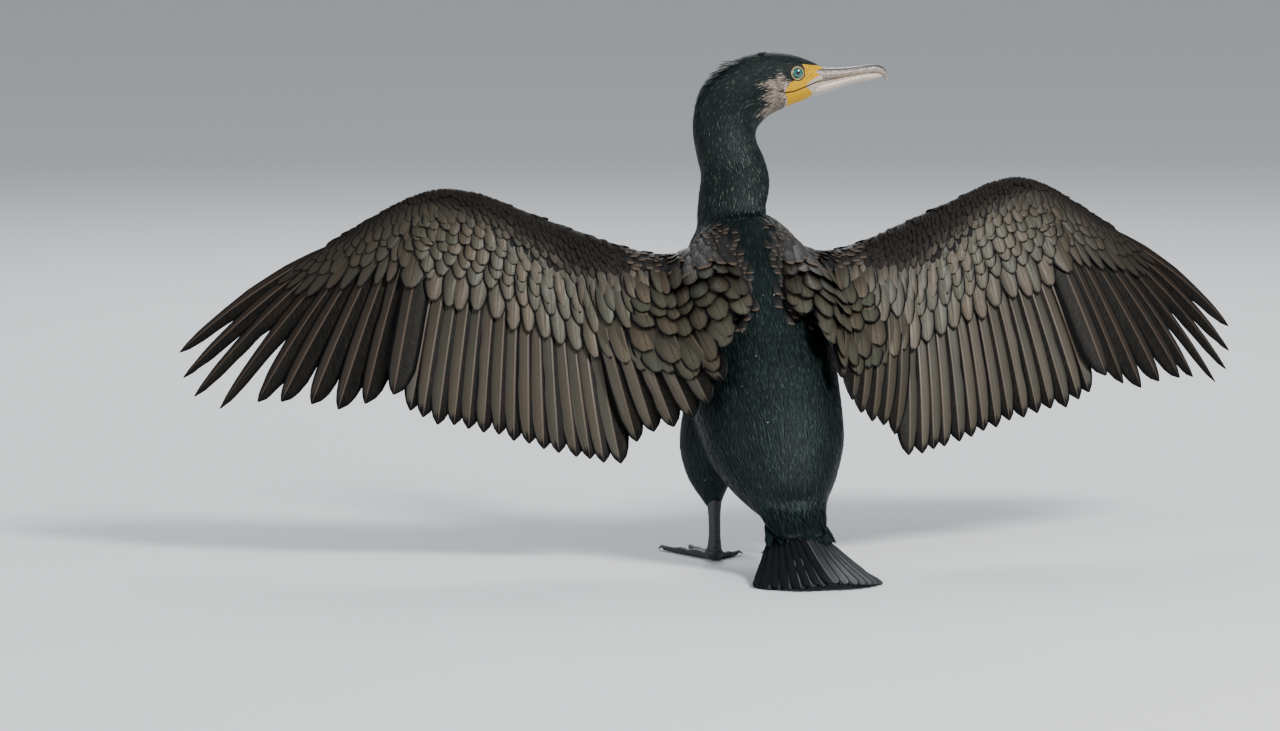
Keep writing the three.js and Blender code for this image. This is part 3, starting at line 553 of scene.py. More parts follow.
def inside(outline, points):
    """How far each point lies inside an outline, in millimetres, less than nothing outside it."""
    a = np.array(outline, float)
    b = np.roll(a, -1, axis=0)
    p = points[:, None, :]
    ab = b - a
    t = np.clip(((p - a) * ab).sum(-1) / (ab * ab).sum(-1), 0, 1)
    gap = np.linalg.norm(p - (a + t[..., None] * ab), axis=-1).min(1)
    spans = (a[:, 1] > p[..., 1]) != (b[:, 1] > p[..., 1])
    slope = np.where(np.abs(ab[:, 1]) < 1e-9, 1e-9, ab[:, 1])
    hits = spans & (p[..., 0] < ab[:, 0] * (p[..., 1] - a[:, 1]) / slope + a[:, 0])
    return np.where(hits.sum(1) % 2 == 1, gap, -gap)


def from_line(line, points):
    a, b = np.array(line[:-1], float), np.array(line[1:], float)
    p = points[:, None, :]
    t = np.clip(((p - a) * (b - a)).sum(-1) / ((b - a) ** 2).sum(-1), 0, 1)
    return np.linalg.norm(p - (a + t[..., None] * (b - a)), axis=-1).min(1)


print("points in the face's outlines:", len(YELLOW), len(CHEEK), len(MOUTH))

# %% [markdown]
# Here the lofts are made and laid into one another. The head is cut square where the bill starts.
# The remesh is a modifier, and its result is taken out as a new mesh.

# %% Join the lofts into one skin
head_bm = loft(NECK_AND_HEAD, FORWARD, rings=90, around=48, shrink=1.0)
bmesh.ops.bisect_plane(head_bm, geom=head_bm.verts[:] + head_bm.edges[:] + head_bm.faces[:], dist=0.001,
                       plane_co=(106.5, HEAD_Y, 516), plane_no=(0.868, 0, -0.496), clear_outer=True)
bmesh.ops.holes_fill(head_bm, edges=[e for e in head_bm.edges if e.is_boundary], sides=0)
middle_parts = together([loft(TRUNK, ACROSS, rings=60, around=48, shrink=COAT), head_bm,
                         loft(TAIL_CORE, ACROSS, rings=20, around=24, shrink=0.5)])
side_parts = together([loft(THIGH, ACROSS, rings=40, around=36, shrink=COAT), flesh_bm], mirror=True)
rough_bm = together([middle_parts, side_parts])
rough_bm.transform(Matrix.Translation(SHIFT / 1000) @ Matrix.Scale(0.001, 4))
rough_mesh = bpy.data.meshes.new("rough_skin")
rough_bm.to_mesh(rough_mesh)
rough_bm.free()
rough = bpy.data.objects.new("rough_skin", rough_mesh)
bpy.context.scene.collection.objects.link(rough)
remesh = rough.modifiers.new("One skin", "REMESH")
remesh.mode, remesh.voxel_size = "VOXEL", 0.0028
whole_mesh = bpy.data.meshes.new_from_object(rough.evaluated_get(bpy.context.evaluated_depsgraph_get()))
bpy.data.objects.remove(rough)
print("remeshed skin", len(whole_mesh.polygons), "faces")

# %% [markdown]
# Smoothing moves each vertex toward its neighbours. Subdividing only the face gives it enough
# vertices for the mouth's groove, the eye's socket and the brow.

# %% Smooth the skin, refine the face and press in its grooves
skin = bmesh.new()
skin.from_mesh(whole_mesh)
skin.transform(Matrix.Scale(1000, 4) @ Matrix.Translation(-SHIFT / 1000))
FACE_LOW, FACE_BACK = 466, 28


def smooth(part, rounds):
    for _ in range(rounds):
        bmesh.ops.smooth_vert(skin, verts=part, factor=0.5, use_axis_x=True, use_axis_y=True, use_axis_z=True)


smooth(skin.verts[:], 6)
middles = [(f, f.calc_center_median()) for f in skin.faces]
face_part = [f for f, middle in middles if middle.z > FACE_LOW and middle.x > FACE_BACK]
face_edges = list({e for f in face_part for e in f.edges})
bmesh.ops.subdivide_edges(skin, edges=face_edges, cuts=3, use_grid_fill=True)
smooth([v for v in skin.verts if v.co.z > FACE_LOW + 1 and v.co.x > FACE_BACK + 1], 4)


def face_values(places):
    """How far inside each coloured part of the face every place is."""
    flat = places[:, [0, 2]]
    on_head = (places[:, 2] > 455) & (places[:, 0] > 15)
    far = np.full(len(places), -20.0)
    found = {}
    for name, outline in (("yellow", YELLOW), ("horn", HORN), ("cheek", CHEEK), ("lores", LORES)):
        found[name] = far.copy()
        found[name][on_head] = inside(outline, flat[on_head])
    sideways = np.abs(places[:, 1] - HEAD_Y)
    found["groove"] = np.where(on_head & (sideways > 5), np.exp(-(from_line(MOUTH, flat) / 0.9) ** 2), 0)
    around_eye = np.hypot(flat[:, 0] - EYE_AT[0], flat[:, 1] - EYE_AT[2])
    found["socket"] = np.where(on_head & (sideways > 8), 8.9 - around_eye, -9.0)
    return found


places = coordinates(skin)
values = face_values(places)
inward = np.zeros(len(places))
inward += 1.3 * values["groove"]
inward += 1.6 * np.clip(values["socket"] / 6, 0, 1)
brow = np.exp(-(from_line(BROW_LINE, places[:, [0, 2]]) / 2.6) ** 2)
lore = np.exp(-(from_line(LORE_LINE, places[:, [0, 2]]) / 3.0) ** 2)
on_side = (np.abs(places[:, 1] - HEAD_Y) > 5) & (places[:, 2] > FACE_LOW) & (places[:, 0] > FACE_BACK)
inward += np.where(on_side, 1.2 * lore - 1.0 * brow, 0)
places[:, 1] -= np.sign(places[:, 1] - HEAD_Y) * inward * (places[:, 2] > 460) * (places[:, 0] > 20)
move(skin, places)
skin.normal_update()
surface = BVHTree.FromBMesh(skin)
skin_obj = piece(skin, "body_skin", skin_material,
                 ["torso", "neck_lower", "neck_upper", "head", "thigh_right", "thigh_left"])
for name, numbers in values.items():
    skin_obj.data.attributes.new(name, "FLOAT", "POINT").data.foreach_set("value", numbers.astype(np.float32))
print("skin has", len(skin_obj.data.polygons), "faces; face values", sorted(values))


def nearest(points):
    """The nearest place on the skin, the normal there and how far outside of it each point is."""
    found = [surface.find_nearest(Vector(p)) for p in points]
    at = np.array([f[0] for f in found])
    normal = np.array([f[1] for f in found])
    return at, normal, ((points - at) * normal).sum(-1)


# %% [markdown]
# ## One feather, laid many times
# A feather starts as a flat grid. Its columns become the two webs of the vane and the shaft
# between them, and its rows run from root to tip. Laying it means working out, for every copy at
# once, where each grid point goes: along the shaft, out to the side by the outline's width, down a
# little at the edges. All the copies of one kind end up in one joined mesh.


# %% The feather grids and outlines
def grid(across, along, dense_tip=1.35, thick=False, columns=None):
    bm = bmesh.new()
    bmesh.ops.create_grid(bm, x_segments=across, y_segments=along, size=1)
    if thick:
        bmesh.ops.solidify(bm, geom=bm.faces[:], thickness=0.1)
    co = coordinates(bm)
    faces = np.array([[v.index for v in f.verts] for f in bm.faces])
    bm.free()
    u = co[:, 0] if columns is None else np.interp(co[:, 0], np.linspace(-1, 1, len(columns)), columns)
    v = 1 - (1 - (co[:, 1] + 1) / 2) ** dense_tip
    low = np.abs(co[:, 2] - co[:, 2].max()) > 0.05
    if thick and low.mean() > 0.9:
        low = ~low
    return {"u": np.clip(u, -1, 1), "v": np.clip(v, 0, 1), "w": low.astype(float), "faces": faces,
            "thick": thick}


QUILL_COLUMNS = (-1, -0.72, -0.38, -0.075, 0, 0.075, 0.38, 0.72, 1)
LONG = grid(8, 26, thick=True, columns=QUILL_COLUMNS)
SHORT = grid(6, 9, dense_tip=1.75, columns=(-1, -0.7, -0.34, 0, 0.34, 0.7, 1))
SMALL = grid(2, 4)
OUTLINES = {
    "broad": ((0, 0.1, 0.3, 0.7, 0.86, 0.93, 0.97, 1), (0.3, 0.55, 0.88, 1, 0.93, 0.72, 0.45, 0.06)),
    "pointed": ((0, 0.1, 0.3, 0.52, 0.66, 0.85, 0.95, 1), (0.3, 0.6, 0.95, 1, 0.78, 0.58, 0.34, 0.05)),
    "covert": ((0, 0.15, 0.4, 0.66, 0.80, 0.9, 0.96, 1), (0.3, 0.62, 0.95, 1, 0.88, 0.64, 0.38, 0.05)),
    "round": ((0, 0.2, 0.5, 0.78, 0.87, 0.93, 0.97, 1), (0.3, 0.72, 0.98, 0.97, 0.86, 0.68, 0.46, 0.08)),
    "tuft": ((0, 0.3, 0.7, 1), (0.6, 1, 0.66, 0.1)),
    "blunt": ((0, 0.1, 0.5, 0.9, 0.965, 1), (0.4, 0.5, 0.82, 1, 0.8, 0.2)),
}
print("faces in the grids:", [len(g["faces"]) for g in (LONG, SHORT, SMALL)])


# %% [markdown]
# A loop over thousands of feathers would be slow, so one call lays a whole row with arrays: the
# first axis counts the feathers, the second the grid's points. Barbs are left out or split here
# and there by pulling the edge in, and each vane is turned a little more or less than the next.


# %% Lay feathers with arrays
def lay(shape, root, tip, face, width, outline, tilt=0.0, sag=0.0, bow=0.0, camber=0.12, ridge=0.0, thick=0.0,
        rag=0.05, zone=0.0, patch=None, span=(0.003, 0.003), lowest=None):
    """face: the ways that root and tip look. width: half widths of the outer and inner web. sag and
    bow: how far the shaft bends out of the vane and within it. rag: how ragged the edge is."""
    count = len(root)

    def column(x):
        return np.broadcast_to(np.asarray(x, float), (count,))[:, None]

    u, v, w = shape["u"][None], shape["v"][None], shape["w"][None]
    along = unit(tip - root)[:, None]

    def bearing(t):
        looks = face[0][:, None] * (1 - t)[..., None] + face[1][:, None] * t[..., None]
        looks = unit(looks - (looks * along).sum(-1, keepdims=True) * along)
        return looks, np.cross(looks, along)

    looks, out = bearing(v)
    middle, middle_out = bearing(np.full((1, 1), 0.5))
    swell = 4 * v * (1 - v)
    at = root[:, None] * (1 - v)[..., None] + tip[:, None] * v[..., None]
    at = at + middle * (column(sag) * swell)[..., None] + middle_out * (column(bow) * swell)[..., None]
    uneven = rng.random((count, 14))
    uneven = np.where(rng.random((count, 14)) > 0.95, 3.5, uneven)
    ragged = 1 - rag * np.stack([np.interp(shape["v"] * 13, np.arange(14), row) for row in uneven])
    half = np.where(u > 0, column(width[0]), column(width[1])) * np.interp(v, *OUTLINES[outline]) * ragged
    turn = (column(tilt) + rng.normal(0, 0.025, (count, 1)))[..., None]
    edge = out * np.cos(turn) + looks * np.sin(turn)
    normal = looks * np.cos(turn) - out * np.sin(turn)
    quill = column(ridge) * np.clip(1 - np.abs(u) / 0.074, 0, 1) * (1 - 0.7 * v)
    height = quill - camber * half * u**2 - w * thick
    made = at + edge * (u * half)[..., None] + normal * height[..., None]
    if lowest is not None:
        made[..., 2] = np.maximum(made[..., 2], lowest + (1 - w) * thick)
    points = len(shape["u"])
    faces = (shape["faces"][None] + (np.arange(count) * points)[:, None, None]).reshape(-1, 4)
    tone = rng.random(count)
    patch = np.full((count, 2), 0.5) if patch is None else patch
    flat = np.stack([(u[0] + 1) / 4 + shape["w"] / 2 if shape["thick"] else (u[0] + 1) / 2, v[0]], 1)
    bake = patch[:, None] + flat[None] * np.asarray(span) * 0.94
    return {"co": made.reshape(-1, 3), "faces": faces, "bake": bake.reshape(-1, 2),
            "vane": np.tile(np.stack([(u[0] + 1) / 2, v[0]], 1), (count, 1)),
            "tone": np.repeat(tone, points), "zone": np.repeat(np.broadcast_to(zone, (count,)), points)}


def cells_for(count):
    """Corners and size of a table of patches in the bake map, in the order that feathers are laid."""
    wide = math.ceil(math.sqrt(count))
    index = np.arange(count)
    return np.stack([index % wide, index // wide], 1) / wide, (1 / wide, 1 / wide)


def coat(name, laid, material, nodes=(), mirror=False):
    """One joined mesh of laid feathers, with its maps and numbers."""
    offset, faces = 0, []
    for part in laid:
        faces.append(part["faces"] + offset)
        offset += len(part["co"])
    faces = np.concatenate(faces)
    keys = ("co", "bake", "vane", "tone", "zone")
    co, bake, vane, tone, zone = (np.concatenate([part[key] for part in laid]) for key in keys)
    if mirror:
        co = co * (-1, 1, 1)
        faces = faces[:, ::-1]
    mesh = bpy.data.meshes.new(name)
    mesh.vertices.add(len(co))
    mesh.vertices.foreach_set("co", ((co + SHIFT) / 1000).astype(np.float32).ravel())
    mesh.loops.add(faces.size)
    mesh.loops.foreach_set("vertex_index", faces.astype(np.int32).ravel())
    mesh.polygons.add(len(faces))
    mesh.polygons.foreach_set("loop_start", np.arange(0, faces.size, 4, dtype=np.int32))
    mesh.update(calc_edges=True)
    for map_name, numbers in (("OFBake", bake), ("Vane", vane)):
        corners = numbers[faces.ravel()].astype(np.float32)
        mesh.uv_layers.new(name=map_name).data.foreach_set("uv", corners.ravel())
    for key, numbers in (("tone", tone), ("zone", zone)):
        mesh.attributes.new(key, "FLOAT", "POINT").data.foreach_set("value", numbers.astype(np.float32))
    mesh.validate()
    return show(mesh, name, material, nodes)


# %% [markdown]
# ## The small feathers of the body
# They cover the skin like roof tiles: rows along each loft, every second row set half a step
# aside. Each is moved onto the skin at its nearest place and laid along the body, from the bill
# backwards and downwards. They are smallest on the face, and they leave the bare skin free.


# %% Body feathers
def rows_over(stations, side, size_at, away=1.0, rings=200):
    """Places in staggered rows over a loft, with the way along it, size and place in the map."""
    centre, way, across, up, half = sections(stations, side, rings)
    run = np.r_[0, np.cumsum(np.linalg.norm(np.diff(centre, axis=0), axis=1))]
    found, s, row = [], run[-1] * 0.01, 0
    while s < run[-1] * 0.995:
        i = min(int(np.searchsorted(run, s)), rings)
        size = float(size_at(centre[i]))
        around = max(int(math.pi * (half[i, 0] + half[i, 1]) / size), 6)
        angle = np.arange(around) + 0.5 * (row % 2) + rng.uniform(-0.12, 0.12, around)
        angle = angle * 2 * math.pi / around
        out_x, out_y = np.cos(angle) * half[i, 0], np.sin(angle) * half[i, 1]
        ring = centre[i] + across[i] * out_x[:, None] + up[i] * out_y[:, None]
        jitter = way[i] * rng.uniform(-0.15, 0.15, (around, 1)) * size
        for p, a in zip(ring + jitter, angle):
            found.append((*p, *(way[i] * away), size, (a / (2 * math.pi)) % 1, s / run[-1]))
        s += size * 0.92
        row += 1
    return np.array(found)


def on_skin(rows, band, reach=9.0, long=2.3, wide=0.66, lift=0.16, shape=SMALL, outline="round", keep=None,
            zone=None):
    """Lay a feather at each place: its root in the skin and its tip lying on it."""
    at, normal, _ = nearest(rows[:, :3])
    near = np.linalg.norm(at - rows[:, :3], axis=1) < reach
    if keep is not None:
        near &= keep(at, normal)
    rows, at, normal = rows[near], at[near], normal[near]
    size = rows[:, 6:7]
    way = rows[:, 3:6] + rng.normal(0, 0.08, (len(rows), 3))
    way = unit(way - (way * normal).sum(-1, keepdims=True) * normal)
    end = at + way * size * long * rng.uniform(0.85, 1.15, (len(rows), 1))
    low, low_normal, _ = nearest(end)
    tip = low + low_normal * size * lift * rng.uniform(0.6, 1.6, (len(rows), 1))
    root = at - normal * size * 0.05
    (u0, v0), (u1, v1) = band
    patch = np.stack([u0 + rows[:, 7] * (u1 - u0 - 0.004), v0 + rows[:, 8] * (v1 - v0 - 0.004)], 1)
    marks = 0.0 if zone is None else zone(at)
    return lay(shape, root, tip, (normal, low_normal), (size[:, 0] * wide, size[:, 0] * wide), outline,
               sag=size[:, 0] * 0.12, camber=0.25, rag=0.12, zone=marks, patch=patch)


def bare(at):
    """The parts of the face that have no feathers."""
    v = face_values(at)
    under_bill = (at[:, 0] > 99) & (at[:, 2] > 470)
    return (v["yellow"] > -0.6) | (v["horn"] > -0.6) | (v["socket"] > -1.2) | under_bill


def mantle(at):
    """1 where the small brown-edged feathers of the shoulders are, fading down the back."""
    high = np.clip((at[:, 2] - 262) / 30, 0, 1) * np.clip((372 - at[:, 2]) / 26, 0, 1)
    aside = np.clip((np.abs(at[:, 0]) - 6) / 22, 0, 1)
    behind = np.clip((92 - at[:, 1]) / 30, 0, 1)
    return high * aside * behind * 0.9


def neck_size(c):
    return float(np.interp(c[2], (340, 360, 400, 480), (4.0, 3.6, 3.0, 2.6)) if c[0] < 20
                 else np.interp(c[0], (20, 45, 100), (2.4, 1.9, 1.8)))


def by_height(heights, sizes):
    """A feather size that changes with the height above the floor."""
    return lambda c: float(np.interp(c[2], heights, sizes))


# %% [markdown]
# A size at some heights is all that a part of the body needs. The rows are worked out first and the
# feathers laid afterwards, so the mantle can have larger ones over the same trunk.

# %% Rows of places, and the plumage of the body
trunk_rows = rows_over(TRUNK, ACROSS, by_height((60, 110, 260, 360), (3.6, 3.9, 4.1, 3.8)), away=-1.0)
mantle_rows = rows_over(TRUNK, ACROSS, by_height((230, 360), (10.5, 7.5)), away=-1.0)
rump_rows = rows_over(TAIL_CORE, ACROSS, lambda c: 3.8)
head_rows = rows_over(NECK_AND_HEAD, FORWARD, neck_size, away=-1.0)
thigh_rows = rows_over(THIGH, ACROSS, by_height((57, 80, 170), (3.0, 3.6, 4.2)))
back_laid = [on_skin(trunk_rows, ((0, 0), (1, 1)), long=3.6, wide=0.46, lift=0.16, outline="tuft")]
ANKLE = 59
body_laid = [on_skin(rump_rows, ((0, 0), (0.5, 1)), long=4.4, wide=0.5, lift=0.24, outline="tuft")]
for flip, band in ((1, ((0.5, 0.5), (0.75, 1))), (-1, ((0.75, 0.5), (1, 1)))):
    turned = thigh_rows * np.array([flip, 1, 1, flip, 1, 1, 1, 1, 1])
    body_laid.append(on_skin(turned, band, long=3.4, wide=0.46, lift=0.16, outline="tuft",
                             keep=lambda at, n: at[:, 2] > ANKLE))
coat("coat_back", back_laid, gloss)
coat("coat_thighs", body_laid, gloss)
mantle_laid = [on_skin(mantle_rows, ((0, 0), (1, 1)), long=2.1, wide=0.62, lift=0.2, shape=SHORT,
                       keep=lambda at, n: mantle(at) > rng.uniform(0.05, 0.45, len(at)),
                       zone=lambda at: 1 - np.clip(mantle(at) * 1.6, 0, 1))]
coat("coat_mantle", mantle_laid, mantle_edge)


def paleness(at):
    """How pale each feather is: those on the cheek, with a ragged border."""
    on_cheek = np.clip(face_values(at)["cheek"] / 2.5 + rng.normal(0.4, 1.0, len(at)), 0, 1)
    return on_cheek * rng.uniform(0.35, 1, len(at))


head_laid = [on_skin(head_rows, ((0.0, 0.0), (1, 0.9)), long=3.4, wide=0.42, lift=0.18, outline="tuft",
                     keep=lambda at, n: ~bare(at), zone=paleness)]
print(len(trunk_rows), len(head_rows), len(thigh_rows), "rows of places")

# %% [markdown]
# ## The wing as a ruled surface
# Every line of the wing runs from the leading edge over a feather's root to its tip. A number q
# counts these lines from the shoulder out to the last primary, and c is the share of the way down
# a line. Rows of coverts need only q, c and a height, and they follow the wing's bend and twist.

# %% The wing's lines
line_x = np.concatenate([np.linspace(92, 164, 5), np.linspace(176, 318, 11), np.linspace(337, 424, 10)])
line_share = np.concatenate([np.full(5, 0.6), np.full(11, 0.62), np.full(10, 0.55)])
ROOTS = np.vstack([[s[1] for s in SCAPULAR], on_wing(line_x, line_share[:, None])])
EDGES = np.vstack([[s[0] for s in SCAPULAR], edge_at(line_x)[:, :3]])
secondary_line = even(SECONDARY_TIPS, np.linspace(0, 1, 11))
TIPS = np.vstack([[s[2] for s in SCAPULAR], TERTIAL_TIPS, secondary_line, PRIMARY_TIPS])
LINES = len(ROOTS) - 1
FIRST_TERTIAL, FIRST_SECONDARY, FIRST_PRIMARY = 3, 8, 19


def lines(q):
    t = np.asarray(q, float) / LINES
    return spline(EDGES, t), spline(ROOTS, t), spline(TIPS, t)


def faces_at(q):
    """The ways that a feather looks at its root and tip: square to its length and to the lines."""
    q = np.asarray(q, float)
    before, after = lines(np.clip(q - 0.5, 0, LINES)), lines(np.clip(q + 0.5, 0, LINES))
    _, root, tip = lines(q)
    along = tip - root
    return unit(np.cross(along, after[1] - before[1])), unit(np.cross(along, after[2] - before[2]))


def wing_point(q, c, lift=0.0, side=1.0):
    """The place a share c down line q, lifted off the flesh and the feathers under it."""
    q, c = np.broadcast_arrays(np.asarray(q, float), np.asarray(c, float))
    edge, root, tip = lines(q)
    first, second = np.linalg.norm(root - edge, axis=-1), np.linalg.norm(tip - root, axis=-1)
    down = c * (first + second)
    s1, s2 = np.clip(down / first, 0, 1), np.clip((down - first) / second, 0, 1.2)
    base = edge + (root - edge) * s1[:, None] + (tip - root) * s2[:, None]
    row = edge_at(np.clip(edge[:, 0], 34, 440))
    back = np.clip(down / row[:, 3], 0, 1)
    flesh = row[:, 4] * np.sqrt(back * (1 - back)) * (1 - 0.55 * back)
    sag = np.interp(q, (0, 7, 9, 28), (10, 11, 5, 7))
    bulge = 4 * sag * s2 * (1 - s2) * side + 1.5 + np.interp(s2, (0, 0.6), (2.5, 0))
    f0, f1 = faces_at(q)
    look = unit(f0 * (1 - s2)[:, None] + f1 * s2[:, None])
    return base + look * ((np.maximum(flesh * 0.95, bulge) + lift) * side)[:, None], look


print("wing lines", LINES + 1, "chords", np.linalg.norm(TIPS - EDGES, axis=1).round()[::4])


def clear_of_skin(points, lift):
    """Push places out of the skin where they would sink into it."""
    at, normal, outside = nearest(points)
    low = outside < lift
    points = points.copy()
    points[low] = at[low] + normal[low] * np.broadcast_to(lift, (len(points),))[low][:, None]
    return points


def drawn_in(points, lift, share):
    """Draw places that stand off the skin back to it, by a share of the way."""
    _, normal, outside = nearest(points)
    off = np.clip(outside - lift, 0, 16) * share
    return points - normal * off[:, None]


# %% [markdown]
# ## Flight feathers
# Ten primaries, fifteen secondaries and six tertials on each side. The outer web of each lies on
# top of the next one further out, so each is turned a little about its shaft, like a blind.

# %% Lay the flight feathers
VANE_TILT = 0.12


def flight_group(q, outer, inner, outline, sag, bow, zone, cells):
    _, root, tip = lines(q)
    tip = tip + rng.normal(0, 1.0, tip.shape) * (1, 0.4, 1)
    patch, span = cells
    return lay(LONG, root, tip, faces_at(q), (outer, inner), outline, tilt=VANE_TILT, sag=sag, bow=bow,
               camber=0.24, ridge=0.55, thick=0.55, rag=0.05, zone=zone, patch=patch, span=span)


secondary_q = np.linspace(FIRST_SECONDARY, FIRST_PRIMARY - 1, 15)
tertial_q = np.linspace(FIRST_TERTIAL, FIRST_SECONDARY - 0.8, 6)
primary_q = np.arange(FIRST_PRIMARY, LINES + 1, dtype=float)
share = np.linspace(0, 1, len(primary_q))
COLUMNS = 31
all_cells = np.stack([np.arange(COLUMNS) / COLUMNS, np.zeros(COLUMNS)], 1)
column_span = (1 / COLUMNS, 1.0)
flight_laid = [
    flight_group(tertial_q, 14, 18, "broad", 12, 1, 0.1, (all_cells[:6], column_span)),
    flight_group(secondary_q, 13, 17, "broad", 5, 2, np.linspace(0.0, 0.4, 15),
                 (all_cells[6:21], column_span)),
    flight_group(primary_q[:6], (12 - 5 * share)[:6], (21 - 6 * share)[:6], "broad", (5 + 3 * share)[:6],
                 (6 * share)[:6], np.linspace(0.75, 1, 6), (all_cells[21:27], column_span)),
    flight_group(primary_q[6:], (12 - 5 * share)[6:], (21 - 6 * share)[6:], "pointed", (5 + 3 * share)[6:],
                 (6 * share)[6:], 1.0, (all_cells[27:31], column_span)),
]
for name, mirror in (("right", False), ("left", True)):
    coat(f"flight_{name}", flight_laid, flight, [f"wing_hand_{name}"], mirror)

# %% [markdown]
# ## Coverts
# Rows of shorter feathers lie over the roots of the flight feathers and over the flesh. Each row
# starts further up than the last and is a little higher, so its tips lie on the row below. Near
# the leading edge they are small, dark and narrow; lower down broad, bronze and black-edged.


# %% Lay the covert rows
def covert_row(q0, q1, count, c_root, c_tip, lift, wide, zone, outline="covert", slant=0.0, side=1.0, odd=0,
               sag=1.2):
    """One row from line q0 to q1. Every number may also be a list along the row. slant: how many
    lines further in a tip lies than its root. side: 1 on top of the wing, -1 under it."""
    step = (q1 - q0) / (count - 1)
    q = np.linspace(q0, q1, count) + (0.5 * odd - 0.25 + rng.uniform(-0.1, 0.1, count)) * step
    q = np.clip(q, 0, LINES)
    t = np.linspace(0, 1, count)

    def along_row(x):
        return np.interp(t, np.linspace(0, 1, len(x)), x) if np.ndim(x) else np.full(count, float(x))

    c0, c1 = along_row(c_root), along_row(c_tip) + rng.normal(0, 0.008, count)
    root, look0 = wing_point(q, c0, -2.0 - along_row(lift) * 0.2, side)
    tip_q = np.clip(q + slant + rng.normal(0, 0.1, count) * step, 0, LINES)
    tip, look1 = wing_point(tip_q, c1, along_row(lift), side)
    inner = q < FIRST_SECONDARY + 1
    if side > 0:
        close = 0.9 * np.clip((FIRST_TERTIAL + 4 - q) / 2, 0, 1)
        root = drawn_in(root, -1.2, close * np.clip((0.22 - c0) / 0.1, 0, 1))
        tip = drawn_in(tip, 1.2 + along_row(lift) * 0.3, close * np.clip((0.3 - c1) / 0.12, 0, 1))
    if inner.any():
        root[inner] = clear_of_skin(root[inner], -1.2)
        tip[inner] = clear_of_skin(tip[inner], 1.3 + along_row(lift)[inner] * 0.3)
    middle, _ = wing_point(q, (c0 + c1) / 2)
    spread = np.linalg.norm(np.gradient(middle, axis=0), axis=1)
    half = np.clip(spread * along_row(wide), 2.5, 18)
    return lay(SHORT, root, tip, (look0 * side, look1 * side), (half, half), outline, tilt=0.1 * side,
               sag=sag, camber=0.2, rag=0.08, zone=along_row(zone))


def with_cells(laid):
    """Give every feather of these rows its own patch of the bake map."""
    points = len(SHORT["u"])
    count = sum(len(part["co"]) // points for part in laid)
    patch, span = cells_for(count)
    done = 0
    flat = np.stack([(SHORT["u"] + 1) / 2, SHORT["v"]], 1) * np.array(span) * 0.9
    for part in laid:
        here = len(part["co"]) // points
        part["bake"] = (patch[done:done + here, None] + flat[None]).reshape(-1, 2)
        done += here
    return laid


def covert_rows(q0, q1, table, odd=0):
    """A table of rows, from the lowest up: count, root and tip along the line, lift, width, zone,
    outline and slant."""
    return [covert_row(q0, q1, *row, odd=(i + odd) % 2) for i, row in enumerate(table)]


def low_inside(lift):
    """A row's lift along the arm: lower at its inner end, where the scapulars lie over it."""
    return (max(lift - 2.4, 0.2), max(lift - 0.8, 0.6), lift, lift, lift, lift, lift, lift)


# %% [markdown]
# The tables say it all: the arm has twelve rows and the hand seven. Where a list stands instead of a
# number, it runs from the shoulder outwards.

# %% The rows of the arm and the hand
arm = (FIRST_TERTIAL + 1.9, FIRST_PRIMARY + 0.3)
hand = (FIRST_PRIMARY - 0.3, LINES)
covert_laid = covert_rows(*arm, [
    (16, (0.30, 0.2, 0.2), (0.76, 0.60, 0.54, 0.53, 0.52, 0.50), (2.6, 1.8, 1.2, 1.0, 1.0, 1.0), 0.66,
     (0.0, 0.0, 0.05, 0.35)),
    (16, 0.17, (0.48, 0.44, 0.43, 0.43, 0.41, 0.38), low_inside(2.4), 0.66, (0.0, 0.0, 0.0, 0.35)),
    (17, 0.17, (0.40, 0.375, 0.36, 0.33), low_inside(3.0), 0.66, (0.0, 0.0, 0.0, 0.3)),
    (18, 0.15, (0.345, 0.33, 0.31, 0.285), low_inside(3.4), 0.66, (0.15, 0.0, 0.0, 0.3), "round"),
    (19, 0.12, (0.30, 0.285, 0.26, 0.24), low_inside(3.7), 0.66, (0.5, 0.1, 0.0, 0.35), "round", -0.15),
    (21, 0.09, (0.265, 0.25, 0.215, 0.20), low_inside(3.8), 0.66, (0.9, 0.35, 0.1, 0.4), "covert", -0.25),
    (24, 0.06, (0.225, 0.21, 0.175, 0.16), low_inside(3.6), 0.64, (1, 0.8, 0.35, 0.5), "covert", -0.4),
    (28, 0.04, (0.19, 0.17, 0.14, 0.13), low_inside(3.2), 0.64, (1, 1, 0.7, 0.6), "pointed", -0.5),
    (32, 0.02, (0.15, 0.135, 0.11, 0.10), low_inside(2.7), 0.64, (1, 1, 0.95, 0.8), "pointed", -0.5),
    (36, 0.01, (0.115, 0.10, 0.082, 0.075), low_inside(2.0), 0.66, 1.0, "pointed", -0.5),
    (42, 0.0, (0.08, 0.07, 0.057, 0.052), low_inside(1.4), 0.68, 1.0, "pointed", -0.4),
    (50, 0.0, (0.05, 0.042, 0.036, 0.034), low_inside(0.8), 0.72, 1.0, "covert", -0.3),
]) + covert_rows(*hand, [
    (11, (0.12, 0.1), (0.45, 0.41), 1.0, 0.66, (0.35, 0.85), "pointed"),
    (11, (0.12, 0.1), (0.34, 0.29), 2.6, 0.66, (0.25, 0.85)),
    (12, (0.08, 0.06), (0.26, 0.215), 3.2, 0.68, (0.3, 0.9)),
    (13, (0.05, 0.04), (0.20, 0.16), 3.2, 0.68, (0.4, 0.95), "round"),
    (15, 0.02, (0.145, 0.115), 2.7, 0.7, (0.6, 1.0), "round"),
    (18, 0.01, (0.10, 0.08), 2.0, 0.7, (0.8, 1.0), "round"),
    (22, 0.0, (0.06, 0.045), 1.3, 0.75, 1.0),
])
covert_laid = with_cells(covert_laid)
